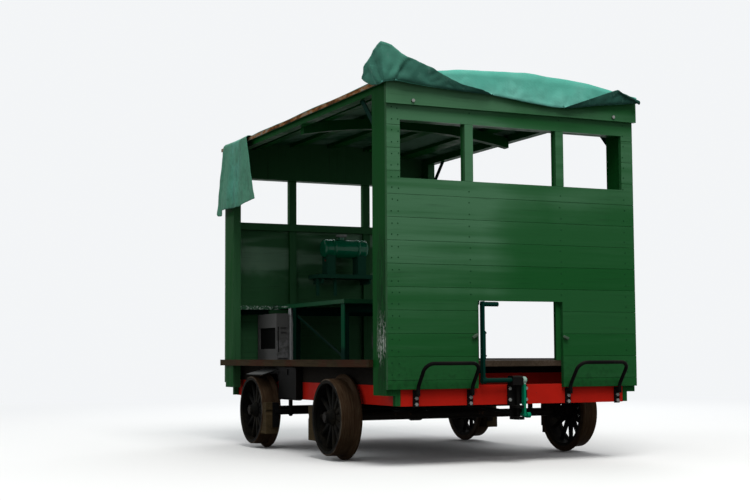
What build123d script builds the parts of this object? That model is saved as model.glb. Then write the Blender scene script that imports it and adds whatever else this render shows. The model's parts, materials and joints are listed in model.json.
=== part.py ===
# Railway inspection trolley: a four-wheeled motor trolley with an open-sided timber cab,
# red channel underframe, spoked wheels, central bench over the engine and a sheeted roof.
# Millimetres. +X is forward, to the end with the hand brake; +Y is the trolley's left; +Z is up.
# The origin is midway between the axles, on the level of the flange tips, which the trolley stands on.
from build123d import *
from math import asin, atan2, cos, hypot, pi, sin, sqrt
import os

# Running gear
wheelbase = 1183
wheel_back_to_back = 1360
wheel_clearance = 20
tyre_width = 110
tread_radius = 203
flange_height = 25
flange_width = 30
tread_rise = 3
rim_thickness = 22
rim_lip_width = 14
rim_lip_depth = 8
spoke_count = 12
spoke_root_width = 34
spoke_tip_width = 22
spoke_root_depth = 24
spoke_tip_depth = 18
spoke_bury = 5
hub_radius = 46
hub_length = 112
hub_offset = 62
hub_cap_radius = 30
hub_cap_length = 20
axle_radius = 22
seat_gap = 0.3
axlebox_length = 110
axlebox_width = 46
axlebox_cap_radius = 34

# Levels: the rail head lies one flange height above the flange tips, and the deck clears the wheels
rail_level = flange_height
wheel_headroom = 39
deck_thickness = 30
bearer_height = 93
channel_height = 100
deck_bottom = rail_level + 2 * tread_radius + flange_height + wheel_headroom
deck_top = deck_bottom + deck_thickness
frame_top = deck_bottom - bearer_height
frame_bottom = frame_top - channel_height
wall_bottom = deck_top - 140
hatch_top = deck_top + 303
roof_eave = deck_top + 1405
fascia_bottom = roof_eave - 126
window_head = fascia_bottom - 75
window_sill = window_head - 293

# Underframe
channel_width = 50
channel_web = 8
headstock_face = 1224
cross_member_x = 760
cross_member_lift = 53
bearer_width = 50
deck_overhang = 78
deck_board_count = 12
board_gap = 0.6
kerb_thickness = 24
kerb_height = 38
kerb_overrun = 20

# End walls
wall_board = 22
board_pitch = 115.5
first_board_joint = wall_bottom + 45
board_chamfer = 1.5
window_margin = 74
mullion_inner = 248
mullion_outer = 297
hatch_right = -230
hatch_left = 277
corner_post_depth = 150
corner_post_width = 50
corner_post_drop = 30
frame_timber = 50
window_post_depth = 22
sill_rail_height = 46
sill_rail_thickness = 24
stud_depth = 28
fascia_overlap = 12
fascia_bolt_margin = 137
fascia_thickness = 22

# Roof
eaves_overhang = 20
roof_rise = 80
roof_sheet_thickness = 20
purlin_thickness = 22
purlin_width = 70
purlin_pitch = 270
purlin_count = 5
hoop_depth = 60
hoop_width = 50
hoop_positions = (0,)
roof_overhang = 26
side_rail_width = 50
side_rail_height = 60
brace_width = 30
brace_thickness = 6
brace_reach = 200

# Fittings on the headstocks
loop_bar_radius = 9.5
loop_bend = 48
loop_lean = 110
loop_top = deck_top - 12
loop_foot_length = 84
loop_foot_thickness = 10
loop_foot_width = 30
loop_inset_right = 82
loop_inset_left = 42
loop_inner_right = 272
loop_inner_left = 311
coupling_width = 112
coupling_y = 3
coupling_thickness = 12
coupling_drop = 77
jaw_y = -13
jaw_width = 52
jaw_reach = 78
jaw_thickness = 14
jaw_opening = 44
rib_width = 18
rib_depth = 18
mouth_half_width = 16
drawpin_hole_radius = 13
bolt_head_radius = 9
bolt_head_height = 7

# Hand brake and rigging
brake_shaft_radius = 12
brake_shaft_x = headstock_face + 38
brake_shaft_z = deck_top - 100
brake_shaft_end = 38
bearing_y = -20.5
bearing_length = 59
bearing_wall = 20
bearing_headroom = 22
bearing_corner = 12
brake_lever_y = -214
brake_lever_top = deck_top + 300
brake_lever_width = 30
brake_lever_thickness = 12
brake_grip_length = 84
latch_rod_radius = 3.5
brake_crank_y = 24
brake_crank_drop = 179
brake_crank_width = 24
brake_crank_thickness = 12
brake_pin_radius = 6
brake_rod_y = 48
brake_rod_radius = 8
brake_rod_eye = 14
brake_eye_width = 20
rocker_x = 160
rocker_z = frame_bottom - 42
rocker_arm = 42
rocker_arm_thickness = 10
rocker_shaft_radius = 12
rocker_bracket_inset = 20
push_rod_y = 27
brake_beam_radius = 16
brake_beam_drop = 5
brake_block_length = 52
brake_block_height = 185
brake_block_drop = 35.5
brake_block_width = 75
brake_strap_width = 36
brake_strap_height = 145
brake_gap = 6
brake_link_inset = 25
brake_link_width = 36
brake_link_thickness = 12

# Bench, engine and tank
bench_inset = 288
bench_top = deck_top + 358
bench_board = 24
bench_front = 54
bench_board_count = 6
angle_leg = 50
angle_thickness = 5
bench_frame_positions = (-765, 0)
bench_stay_width = 18
side_seat_depth = 94
slotted_leg_x = -842
slotted_leg_width = 40
slot_pitch = 36
slot_count = 9
engine_x = -150
crankcase_radius = 105
crankcase_width = 190
cylinder_radius = 42
fin_radius = 66
fin_thickness = 4
fin_pitch = 13
fin_count = 8
cylinder_angle = 25
flywheel_radius = 110
flywheel_width = 34
shaft_height = 120
gearbox_x = -330
gearbox_length = 170
gearbox_height = 190
primary_case_width = 40
primary_case_front_radius = 80
primary_case_rear_radius = 64
tank_length = 322
tank_radius = 63
tank_wall_gap = 65
tank_y = 56
tank_z = bench_top + 390
tank_cap_radius = 38
shelf_half_length = 212
shelf_thickness = 26
shelf_z = tank_z - 203
saddle_width = 60
locker_length = 344
locker_width = 84
locker_height = 300
locker_gap = 3
locker_rear_gap = 60
case_from_axle = 241.5
case_length = 284
case_bottom = frame_bottom - 5
case_width = 42
guard_length = 280
guard_from_axle = 71.5
guard_thickness = 3
chain_case_y = 300
chain_case_width = 60
chain_case_axle_radius = 92
chain_case_gear_radius = 62

# Tarpaulin over the roof
sheet_thickness = 6
sheet_lift = 0.5
sheet_inset = 18
sheet_overhang = 40
fold_thickness = 12
fold_drop = 25
# Corners of the folds: (y, height above the eaves) at the front, (x from the sheet's end, height) at the side
front_hem = ((-160, -30), (300, -73), (560, -37))
front_ear = ((-700, 145), (-437, 57), (-300, 10), (-160, -30))
side_ear = ((-236, 23), (12, 175), (12, -37), (-176, -10))
side_flap = ((135, 12), (540, 12), (725, -415), (475, -435), (35, -440), (-23, -430))

axle_z = rail_level + tread_radius
wheel_back = wheel_back_to_back / 2
wheel_face = wheel_back + tyre_width
solebar_face = wheel_back - wheel_clearance
deck_half_width = solebar_face + deck_overhang
wall_half_width = deck_half_width
window_half_span = wall_half_width - window_margin
roof_half_width = wall_half_width + eaves_overhang
bench_half_width = deck_half_width - bench_inset
wall_face = headstock_face + wall_board
coupling_bottom = frame_bottom - coupling_drop
brake_beam_z = axle_z - brake_beam_drop
case_rear = case_from_axle - wheelbase / 2
case_front = case_rear + case_length
guard_x = guard_from_axle - wheelbase / 2
tread_x = wheelbase / 2 - sqrt(tread_radius**2 - brake_beam_drop**2)
block_back = tread_x - brake_gap - brake_block_length
brake_beam_x = block_back - brake_beam_radius / 2
brake_link_y = solebar_face - brake_link_inset
rocker_bracket_y = solebar_face - rocker_bracket_inset
bench_rear = -(headstock_face - frame_timber - 2)
tank_x = -(headstock_face - tank_wall_gap - tank_radius)
locker_x = -(headstock_face - locker_rear_gap - locker_length / 2)
locker_y = -(bench_half_width + locker_gap + locker_width / 2)
roof_radius = (roof_half_width**2 + roof_rise**2) / (2 * roof_rise)
roof_centre_z = roof_eave + roof_rise - roof_radius
roof_under = roof_radius - roof_sheet_thickness
purlin_under = roof_under - purlin_thickness
hoop_under = purlin_under - hoop_depth
post_back = headstock_face - corner_post_depth
post_face = wall_half_width - corner_post_width
sheet_half_width = roof_half_width - sheet_inset
sheet_front = wall_face + sheet_overhang
sheet_rear = 1 - sheet_front
fold_side = -(roof_half_width + fold_thickness + 16)


def block(x0, x1, y0, y1, z0, z1):
    """A box between two limits on each axis."""
    size = (abs(x1 - x0), abs(y1 - y0), abs(z1 - z0))
    return Pos((x0 + x1) / 2, (y0 + y1) / 2, (z0 + z1) / 2) * Box(*size)


def rod(start, end, radius):
    """A round bar between two points."""
    a, b = Vector(*start), Vector(*end)
    plane = Plane(origin=(a + b) / 2, z_dir=b - a)
    return plane * Cylinder(radius, (b - a).length)


def cross_rod(x, z, y0, y1, radius):
    """A round bar across the trolley."""
    return rod((x, y0, z), (x, y1, z), radius)


def arch(radius, x0, x1):
    """The solid under the roof's curve at one radius, between two stations."""
    cylinder = Rot(0, 90, 0) * Cylinder(radius, abs(x1 - x0))
    return Pos((x0 + x1) / 2, 0, roof_centre_z) * cylinder


def arch_band(outer, inner, x0, x1, half_width):
    """A strip of the roof's curve between two radii, cut off at its sides."""
    band = arch(outer, x0, x1) - arch(inner, x0 - 1, x1 + 1)
    return band & block(x0, x1, -half_width, half_width, fascia_bottom, roof_eave + 2 * roof_rise)


def both_ends(shapes):
    """The shapes and their mirror images at the rear end."""
    return shapes + [mirror(s, about=Plane.YZ) for s in shapes]


def both_sides(shapes):
    """The shapes and their mirror images on the other side."""
    return shapes + [mirror(s, about=Plane.XZ) for s in shapes]


def bolt_heads(x, places):
    """Bolt heads on a face that looks forward, each place a (y, z) pair."""
    head = Rot(0, 90, 0) * Cylinder(bolt_head_radius, bolt_head_height)
    return [Pos(x + bolt_head_height / 2, y, z) * head for y, z in places]


def fuse(shapes):
    """One solid from pieces that touch or overlap."""
    body = shapes[0]
    for shape in shapes[1:]:
        body = body + shape
    return body


def wheel(side):
    """A spoked wheel at the origin of its axle, on the left (side 1) or right (side -1)."""
    back, face = wheel_back, wheel_face
    inner = tread_radius - rim_thickness
    outline = Polyline(
        (inner, back),
        (tread_radius + flange_height - 4, back),
        (tread_radius + flange_height, back + 6),
        (tread_radius + flange_height, back + 14),
        (tread_radius + tread_rise, back + flange_width),
        (tread_radius, face - 4),
        (tread_radius - 4, face),
        (inner, face),
        (inner, face - rim_lip_width),
        (inner + rim_lip_depth, face - rim_lip_width - rim_lip_depth),
        (inner + rim_lip_depth, back + rim_lip_width + rim_lip_depth),
        (inner, back + rim_lip_width),
        close=True,
    )
    rim = revolve(make_face(outline), Axis.Y)
    hub_back = back + hub_offset - hub_length / 2
    hub_front = back + hub_offset + hub_length / 2
    hub_line = Polyline(
        (axle_radius + seat_gap, hub_back),
        (hub_radius - 8, hub_back),
        (hub_radius, back + hub_offset - 18),
        (hub_radius, back + hub_offset + 18),
        (hub_cap_radius, hub_front - 10),
        (hub_cap_radius, hub_front),
        (axle_radius + seat_gap, hub_front),
        close=True,
    )
    hub = revolve(make_face(hub_line), Axis.Y)
    middle = back + hub_offset
    inner_radius = hub_radius - spoke_bury
    outer_radius = inner + rim_lip_depth + spoke_bury
    root = Plane(origin=(0, middle, inner_radius)) * Rectangle(spoke_root_width, spoke_root_depth)
    tip = Plane(origin=(0, middle, outer_radius)) * Rectangle(spoke_tip_width, spoke_tip_depth)
    spoke = loft([chamfer_corners(root, 7), chamfer_corners(tip, 5)])
    spokes = [Rot(0, 360 / spoke_count * n, 0) * spoke for n in range(spoke_count)]
    body = fuse([hub] + spokes + [rim])
    return body if side > 0 else mirror(body, about=Plane.XZ)


def chamfer_corners(face, size):
    """A rectangle face with its four corners cut off."""
    return chamfer(face.vertices(), size)


def wheelset(end):
    """The two wheels and the axle at one end, as three solids in place."""
    x = end * wheelbase / 2
    place = Pos(x, 0, axle_z)
    half_axle = wheel_back + hub_offset + hub_length / 2 + 4
    axle = place * Rot(90, 0, 0) * Cylinder(axle_radius, 2 * half_axle)
    return place * wheel(1), place * wheel(-1), axle


def axleboxes(end):
    """The journal housings bolted under the solebars at one end."""
    x = end * wheelbase / 2
    y0 = solebar_face - axlebox_width
    half = axlebox_length / 2
    cap_z = axle_z
    base = block(x - half, x + half, y0, solebar_face, frame_bottom - 14, frame_bottom)
    cap = Pos(x, y0 + axlebox_width / 2, cap_z) * Rot(90, 0, 0) * Cylinder(axlebox_cap_radius, axlebox_width)
    cheek = axlebox_cap_radius - 2
    neck = block(x - cheek, x + cheek, y0 + 4, solebar_face - 4, cap_z, frame_bottom - 14)
    bore = Pos(x, y0, cap_z) * Rot(90, 0, 0) * Cylinder(axle_radius + seat_gap, 4 * axlebox_width)
    return both_sides([fuse([base, neck, cap]) - bore])


def headstock():
    """The front channel, web outwards, between the solebars' outer faces."""
    half = solebar_face - 2
    outer = block(headstock_face - channel_width, headstock_face, -half, half, frame_bottom, frame_top)
    hollow = block(
        headstock_face - channel_width - 1,
        headstock_face - channel_web,
        -half - 1,
        half + 1,
        frame_bottom + channel_web,
        frame_top - channel_web,
    )
    return outer - hollow


def solebar():
    """The left side channel, web outwards, between the headstocks."""
    half = headstock_face - channel_width
    outer = block(-half, half, solebar_face - channel_width, solebar_face, frame_bottom, frame_top)
    hollow = block(
        -half - 1,
        half + 1,
        solebar_face - channel_width - 1,
        solebar_face - channel_web,
        frame_bottom + channel_web,
        frame_top - channel_web,
    )
    return outer - hollow


def cross_members():
    """The raised channels across the frame, one near each end, between the solebars."""
    half = solebar_face - channel_width
    bottom = frame_bottom + cross_member_lift
    x1 = cross_member_x + channel_width
    outer = block(cross_member_x, x1, -half, half, bottom, bottom + channel_height)
    hollow = block(
        cross_member_x - 1,
        x1 - channel_web,
        -half - 1,
        half + 1,
        bottom + channel_web,
        bottom + channel_height - channel_web,
    )
    return both_ends([outer - hollow])


def deck_bearers():
    """The timbers on the solebars that carry the deck."""
    half = headstock_face - 4
    timber = block(-half, half, solebar_face - bearer_width, solebar_face, frame_top, deck_bottom)
    return both_sides([timber])


def deck_boards():
    """The lengthwise floor boards, with a working gap between each two."""
    width = 2 * deck_half_width / deck_board_count
    boards = []
    for n in range(deck_board_count):
        y0 = -deck_half_width + n * width + board_gap / 2
        y1 = y0 + width - board_gap
        inside_posts = max(abs(y0), abs(y1)) < post_face + 1
        half = headstock_face - 1 if inside_posts else post_back - 1
        boards.append(block(-half, half, y0, y1, deck_bottom, deck_top))
    return boards


def kerbs():
    """The edge boards along both sides of the deck; each runs past the rear post."""
    y0, y1 = deck_half_width, deck_half_width + kerb_thickness
    board = block(-wall_face - kerb_overrun, post_back, y0, y1, deck_bottom, deck_bottom + kerb_height)
    return both_sides([board])


def wall_boards(hatch):
    """The end wall's boards, one solid for each stretch between windows, hatch and ends."""
    joints = [wall_bottom]
    level = first_board_joint
    while level < roof_eave + roof_rise:
        joints.append(level)
        level += board_pitch
    joints.append(roof_eave + roof_rise)
    openings = [(-window_half_span, window_half_span, window_sill, window_head)]
    if hatch:
        openings.append((hatch_right, hatch_left, wall_bottom, hatch_top))
    boards = []
    for z0, z1 in zip(joints, joints[1:]):
        boards += board_row(z0 + board_gap / 2, z1 - board_gap / 2, openings)
    return boards


def board_row(z0, z1, openings):
    """One row of boarding from right to left, bevelled along its front edges and cut at the openings."""
    face, back = wall_face, headstock_face
    bevel = board_chamfer
    outline = Polyline(
        (back, z0),
        (face - bevel, z0),
        (face, z0 + bevel),
        (face, z1 - bevel),
        (face - bevel, z1),
        (back, z1),
        close=True,
    )
    section = Plane.XZ * make_face(outline)
    row = Pos(0, wall_half_width, 0) * extrude(section, 2 * wall_half_width)
    for y0, y1, low, high in openings:
        if low < z1 and high > z0:
            row = row - block(back - 1, face + 1, y0, y1, low, high)
    row = row & arch(roof_under - seat_gap, back - 1, face + 1)
    return list(row.solids().sort_by(Axis.Y))


def mullion_strips():
    """The upright strips on the window posts, between sill and head, flush with the boards."""
    return both_sides([
        block(headstock_face + board_gap, wall_face, mullion_inner + board_gap, mullion_outer - board_gap,
              window_sill + 1, window_head - 1)
    ])


def wall_frame():
    """The front wall's posts, the studs beside the headstock, the sill rail and the arched head rail."""
    top = roof_eave - side_rail_height + 10
    corner = block(post_back, headstock_face, post_face, wall_half_width, wall_bottom - corner_post_drop, top)
    post_x = headstock_face - window_post_depth
    window_post = block(post_x, headstock_face, mullion_inner, mullion_outer, deck_top, window_head)
    stud = block(
        headstock_face - stud_depth, headstock_face, solebar_face, post_face, frame_bottom + 2, window_sill
    )
    inner = headstock_face - frame_timber
    rail_half = post_face - board_gap
    sill = block(
        post_x - board_gap - sill_rail_thickness, post_x - board_gap, -rail_half, rail_half,
        window_sill - sill_rail_height, window_sill
    )
    head = block(inner, headstock_face, -rail_half, rail_half, window_head + board_gap, roof_eave + roof_rise)
    head = head & arch(roof_under - seat_gap, inner - 1, headstock_face + 1)
    return both_sides([corner, window_post, stud]) + [sill, head]


def fascia():
    """The header board across the front, arched with the roof, and its two bolt heads."""
    half = wall_half_width + fascia_overlap
    face = wall_face + fascia_thickness
    board = block(wall_face, face, -half, half, fascia_bottom, roof_eave + roof_rise)
    board = board & arch(roof_under - seat_gap, wall_face - 1, face + 1)
    bolt_y = wall_half_width - fascia_bolt_margin
    bolts = bolt_heads(face, [(-bolt_y, fascia_bottom + 20), (bolt_y, fascia_bottom + 20)])
    return fuse([board] + bolts)


def roof_sheet():
    """The arched roof covering."""
    half = wall_face + roof_overhang
    return arch_band(roof_radius, roof_under, -half, half, roof_half_width)


def purlins():
    """The lengthwise slats under the covering."""
    half = headstock_face - frame_timber - 1
    band = arch_band(roof_under - seat_gap, purlin_under, -half, half, wall_half_width)
    first = -(purlin_count - 1) / 2 * purlin_pitch
    slats = []
    for n in range(purlin_count):
        y0 = first + n * purlin_pitch - purlin_width / 2
        slats.append(band & block(-half, half, y0, y0 + purlin_width, fascia_bottom, 2 * roof_eave))
    return slats


def hoops():
    """The arched cross bars under the slats, between the side rails."""
    half_width = wall_half_width - side_rail_width
    bars = []
    for x in hoop_positions:
        x0, x1 = x - hoop_width / 2, x + hoop_width / 2
        bars.append(arch_band(purlin_under - seat_gap, hoop_under, x0, x1, half_width))
    return bars


def side_rails():
    """The eaves rails along the tops of the corner posts."""
    z0 = roof_eave - side_rail_height + 10
    y0 = wall_half_width - side_rail_width
    rail = block(-headstock_face, headstock_face, y0, wall_half_width, z0, roof_eave)
    return both_sides([rail & arch(roof_under - seat_gap, -wall_face, wall_face)])


def roof_braces():
    """The flat diagonal struts from the corner posts to the eaves rails."""
    z_top = roof_eave - side_rail_height + 10
    x0, x1 = post_back - brace_reach, post_back
    outline = Polyline(
        (x0, z_top),
        (x0 + brace_width * sqrt(2), z_top),
        (x1, z_top - brace_reach + brace_width * sqrt(2)),
        (x1, z_top - brace_reach),
        close=True,
    )
    y = wall_half_width - corner_post_width / 2
    strut = Pos(0, y, 0) * extrude(Plane.XZ * make_face(outline), brace_thickness)
    return both_ends(both_sides([strut]))


def bump_loops():
    """The bent bars that stand out in front of the headstock, with flattened bolted feet."""
    loops = []
    foot_x = headstock_face + loop_foot_thickness / 2
    bar_x = wall_face + loop_bar_radius + 2
    knee_z = wall_bottom + 12
    top_x = headstock_face + loop_lean + loop_bar_radius
    spans = (
        (loop_inset_right - solebar_face, -loop_inner_right),
        (loop_inner_left, solebar_face - loop_inset_left),
    )
    for y0, y1 in spans:
        path = FilletPolyline(
            (bar_x, y0, wall_bottom - 22),
            (bar_x, y0, knee_z),
            (top_x, y0, loop_top),
            (top_x, y1, loop_top),
            (bar_x, y1, knee_z),
            (bar_x, y1, wall_bottom - 22),
            radius=loop_bend,
        )
        section = Plane(origin=path @ 0, z_dir=path % 0) * Circle(loop_bar_radius)
        bar = sweep(section, path=path)
        pieces = [bar]
        for y in (y0, y1):
            pieces.append(loop_foot(y, bar_x))
        loops.append(fuse(pieces))
    return loops


def loop_foot(y, bar_x):
    """The flat foot of a loop's leg on the headstock's face, cranked out to meet the round bar."""
    half = loop_foot_width / 2
    z1 = wall_bottom - 4
    z0 = z1 - loop_foot_length
    foot = block(headstock_face, headstock_face + loop_foot_thickness, y - half, y + half, z0, z1)
    reach = loop_bar_radius - 2
    web = block(headstock_face, bar_x + reach - 1, y - reach, y + reach, z1 - 30, z1)
    bolts = bolt_heads(headstock_face + loop_foot_thickness, [(y, z0 + 14), (y, z0 + 44)])
    return fuse([foot, web] + bolts)


def coupling(top):
    """The drawbar plate on the headstock, up to a given height, with its two pin jaws below."""
    half = coupling_width / 2
    x0 = headstock_face
    x1 = x0 + coupling_thickness
    tongue = jaw_width / 2 + 1
    nose_x = x0 + jaw_reach - jaw_width / 2
    plate = block(x0, x1, coupling_y - half, coupling_y + half, frame_bottom, top)
    tail = block(x0, x1, jaw_y - tongue, jaw_y + tongue, coupling_bottom, frame_bottom + 1)
    rib_y = jaw_y + rib_width / 2
    rib = block(x0, x1 + rib_depth, jaw_y, jaw_y + rib_width, coupling_bottom + 4, top - 8)
    jaws = []
    for z in (coupling_bottom, coupling_bottom + jaw_thickness + jaw_opening):
        arm = block(x1, nose_x, jaw_y - jaw_width / 2, jaw_y + jaw_width / 2, z, z + jaw_thickness)
        nose = Pos(nose_x, jaw_y, z + jaw_thickness / 2) * Cylinder(jaw_width / 2, jaw_thickness)
        jaws += [arm, nose]
    heads = [(coupling_y + side * (half - 8), z) for side in (-1, 1) for z in (frame_bottom + 23, top - 18)]
    hole = Pos(nose_x, jaw_y, coupling_bottom + 40) * Cylinder(drawpin_hole_radius, 200)
    low = coupling_bottom + jaw_thickness
    y0, y1 = rib_y - mouth_half_width, rib_y + mouth_half_width
    mouth = block(x1 + rib_depth - 2, x1 + rib_depth + 2, y0, y1, low, low + jaw_opening)
    return fuse([plate, tail, rib] + jaws + bolt_heads(x1, heads)) - hole - mouth


def brake_bearing():
    """The block above the front drawbar plate that carries the brake cross shaft."""
    y0, y1 = bearing_y - bearing_length / 2, bearing_y + bearing_length / 2
    top = brake_shaft_z + bearing_headroom
    body = block(headstock_face, brake_shaft_x + bearing_wall, y0, y1, frame_top - 2, top)
    body = fillet(body.edges().filter_by(Axis.Y).group_by(Axis.Z)[-1], bearing_corner)
    bore = cross_rod(brake_shaft_x, brake_shaft_z, y0 - 30, y1 + 30, brake_shaft_radius + seat_gap)
    return body - bore


def brake_lever():
    """The hand lever with its latch rod, its cross shaft and the crank in front of the drawbar plate."""
    x, z0, z1 = brake_shaft_x, brake_shaft_z, brake_lever_top
    reach = brake_lever_width / 2
    y0 = brake_lever_y - brake_lever_thickness / 2
    y1 = brake_lever_y + brake_lever_thickness / 2
    shaft = cross_rod(x, z0, y0, brake_shaft_end, brake_shaft_radius)
    boss = cross_rod(x, z0, y0 - 2, y1 + 10, reach + 2)
    upright = block(x - reach, x + reach, y0, y1, z0, z1)
    grip = cross_rod(x, z1 - 14, y1 - 1, y1 + brake_grip_length, 12)
    latch_y = y1 + 9
    latch = rod((x, latch_y, z0 + 110), (x, latch_y, z0 + 250), latch_rod_radius)
    tabs = [block(x - 6, x + 6, y1 - 1, latch_y + 5, z0 + rise, z0 + rise + 8) for rise in (120, 236)]
    half = brake_crank_width / 2
    y2 = brake_crank_y - brake_crank_thickness / 2
    y3 = brake_crank_y + brake_crank_thickness / 2
    end_z = z0 - brake_crank_drop
    crank_boss = cross_rod(x, z0, y2 - 4, y3 + 2, half + 6)
    arm = block(x - half, x + half, y2, y3, end_z, z0)
    eye = cross_rod(x, end_z, y2, y3, half)
    pin = cross_rod(x, end_z, y2 - 4, brake_rod_y + brake_eye_width / 2 + 3, brake_pin_radius)
    return fuse([shaft, boss, upright, grip, latch] + tabs + [crank_boss, arm, eye, pin])


def brake_rods():
    """The rocking shaft under the deck, its arms, the pull rod and the push rods to the beams."""
    crank_z = brake_shaft_z - brake_crank_drop
    top_z, low_z = rocker_z + rocker_arm, rocker_z - rocker_arm
    half = brake_eye_width / 2
    shaft = cross_rod(rocker_x, rocker_z, -rocker_bracket_y - 14, rocker_bracket_y + 14, rocker_shaft_radius)
    arm_y = (brake_rod_y - push_rod_y) / 2
    reach = brake_pin_radius + 6
    arms = []
    for y, z in ((arm_y, top_z), (push_rod_y + half + 7, low_z)):
        y0, y1 = y - rocker_arm_thickness / 2, y + rocker_arm_thickness / 2
        z0, z1 = sorted((z, rocker_z))
        arms.append(block(rocker_x - reach, rocker_x + reach, y0, y1, z0, z1))
        arms.append(cross_rod(rocker_x, z, y0, y1, reach))
    pins = [
        cross_rod(rocker_x, top_z, -push_rod_y - half, brake_rod_y + half, brake_pin_radius),
        cross_rod(rocker_x, low_z, push_rod_y - half, push_rod_y + half + 12, brake_pin_radius),
    ]
    runs = (
        (brake_rod_y, (brake_shaft_x, crank_z), (rocker_x, top_z)),
        (-push_rod_y, (brake_beam_x, brake_beam_z), (rocker_x, top_z)),
        (push_rod_y, (-brake_beam_x, brake_beam_z), (rocker_x, low_z)),
    )
    links = []
    for y, (x0, z0), (x1, z1) in runs:
        bar = rod((x0, y, z0), (x1, y, z1), brake_rod_radius)
        eyes = [cross_rod(x1, z1, y - half, y + half, brake_rod_eye)]
        pinned = x0 == brake_shaft_x
        eye_radius = brake_rod_eye if pinned else brake_beam_radius + 8
        bore_radius = (brake_pin_radius if pinned else brake_beam_radius) + seat_gap
        eyes.append(cross_rod(x0, z0, y - half, y + half, eye_radius))
        links.append(fuse([bar] + eyes) - cross_rod(x0, z0, y - 40, y + 40, bore_radius))
    return fuse([shaft] + arms + pins + links)


def brake_beams():
    """The cross bars behind the brake blocks, each on two short links, and the rocking shaft's brackets."""
    half = (wheel_back + wheel_face) / 2
    y0, y1 = brake_link_y - brake_link_thickness / 2, brake_link_y + brake_link_thickness / 2
    reach = brake_link_width / 2
    beam = cross_rod(brake_beam_x, brake_beam_z, -half, half, brake_beam_radius)
    x0, x1 = brake_beam_x - reach, brake_beam_x + reach
    links = []
    for side in (-1, 1):
        links.append(block(x0, x1, side * y0, side * y1, brake_beam_z, frame_bottom))
        links.append(cross_rod(brake_beam_x, brake_beam_z, side * y0, side * y1, brake_beam_radius + 10))
        links.append(block(x0 - 8, x1 + 8, side * (y0 - 12), side * (y1 + 8), frame_bottom - 8, frame_bottom))
        inner = wheel_back + flange_width + 2
        low = brake_beam_z + brake_block_height / 2 - brake_block_drop - brake_strap_height
        links.append(
            block(block_back - 12, block_back - seat_gap, side * inner, side * (inner + brake_strap_width),
                  low, low + brake_strap_height)
        )
    y2, y3 = rocker_bracket_y - 6, rocker_bracket_y + 6
    bracket = block(rocker_x - 20, rocker_x + 20, y2, y3, rocker_z, frame_bottom)
    bracket = bracket + cross_rod(rocker_x, rocker_z, y2, y3, rocker_shaft_radius + 12)
    bracket = bracket - cross_rod(rocker_x, rocker_z, y2 - 9, y3 + 9, rocker_shaft_radius + seat_gap)
    return both_ends([fuse([beam] + links)]) + both_sides([bracket])


def brake_blocks():
    """The timber blocks that bear on the treads, bored for the beams."""
    x0, x1 = block_back, tread_x + 40
    y0 = wheel_back + flange_width + 2
    z0 = brake_beam_z - brake_block_drop - brake_block_height / 2
    timber = block(x0, x1, y0, y0 + brake_block_width, z0, z0 + brake_block_height)
    clearance = tread_radius + brake_gap
    place = Pos(wheelbase / 2, y0, axle_z)
    timber = timber - place * Rot(90, 0, 0) * Cylinder(clearance, 4 * brake_block_width)
    bore = Pos(brake_beam_x, y0, brake_beam_z) * Rot(90, 0, 0)
    timber = timber - bore * Cylinder(brake_beam_radius + seat_gap, 4 * brake_block_width)
    return both_ends(both_sides([timber]))


def rear_wheel_guards():
    """The sloping plates over the driven wheels, bent down along the bearers."""
    y0, y1 = solebar_face, wheel_face + 4
    z0 = deck_bottom - 12
    drop = 40
    outline = Polyline(
        (y0, z0 - 36),
        (y0 + guard_thickness, z0 - 36),
        (y0 + guard_thickness, z0 - guard_thickness),
        (y1, z0 - drop),
        (y1, z0 - drop + guard_thickness),
        (y0, z0),
        close=True,
    )
    plate = extrude(Plane.YZ * make_face(outline), guard_length)
    return both_sides([Pos(guard_x - guard_length / 2, 0, 0) * plate])


def side_box():
    """The tool box slung outside the right solebar, with its lid and hasp."""
    y0 = -solebar_face
    y1 = y0 - case_width
    top = deck_bottom - 18
    body = block(case_rear, case_front, y1, y0, case_bottom, top)
    body = fillet(body.edges().filter_by(Axis.X).group_by(Axis.Z)[0], 14)
    lid = block(case_rear - 4, case_front + 4, y1 - 4, y0, top, top + 10)
    hasp_x = (case_rear + case_front) / 2
    hasp = block(hasp_x - 14, hasp_x + 14, y1 - 5, y1, top - 34, top)
    return fuse([body, lid, hasp])


def drive_case(start, end, y0, y1):
    """A closed case round two parallel shafts, each given as (x, z, radius)."""
    (xa, za, ra), (xb, zb, rb) = start, end
    bearing = atan2(zb - za, xb - xa)
    flare = asin((ra - rb) / hypot(xb - xa, zb - za))
    corners = []
    for x, z, r, up in ((xa, za, ra, 1), (xb, zb, rb, 1), (xb, zb, rb, -1), (xa, za, ra, -1)):
        angle = bearing + up * (pi / 2 - flare)
        corners.append((x + r * cos(angle), z + r * sin(angle)))
    side = make_face(Polyline(*corners, close=True))
    body = Pos(0, y1, 0) * extrude(Plane.XZ * side, y1 - y0)
    return fuse([cross_rod(xa, za, y0, y1, ra), body, cross_rod(xb, zb, y0, y1, rb)])


def final_drive():
    """The whole final chain case, from the rear axle up through the deck to the gearbox."""
    axle_end = (-wheelbase / 2, axle_z, chain_case_axle_radius)
    gear_end = (gearbox_x, deck_top + shaft_height - 30, chain_case_gear_radius)
    return drive_case(axle_end, gear_end, chain_case_y, chain_case_y + chain_case_width)


def chain_case():
    """The part of the final chain case below the deck, with a running hole for the axle."""
    below = block(-1000, 0, 0, 500, 0, deck_bottom)
    hole = cross_rod(-wheelbase / 2, axle_z, 0, 500, axle_radius + 6)
    return (final_drive() & below) - hole


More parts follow.
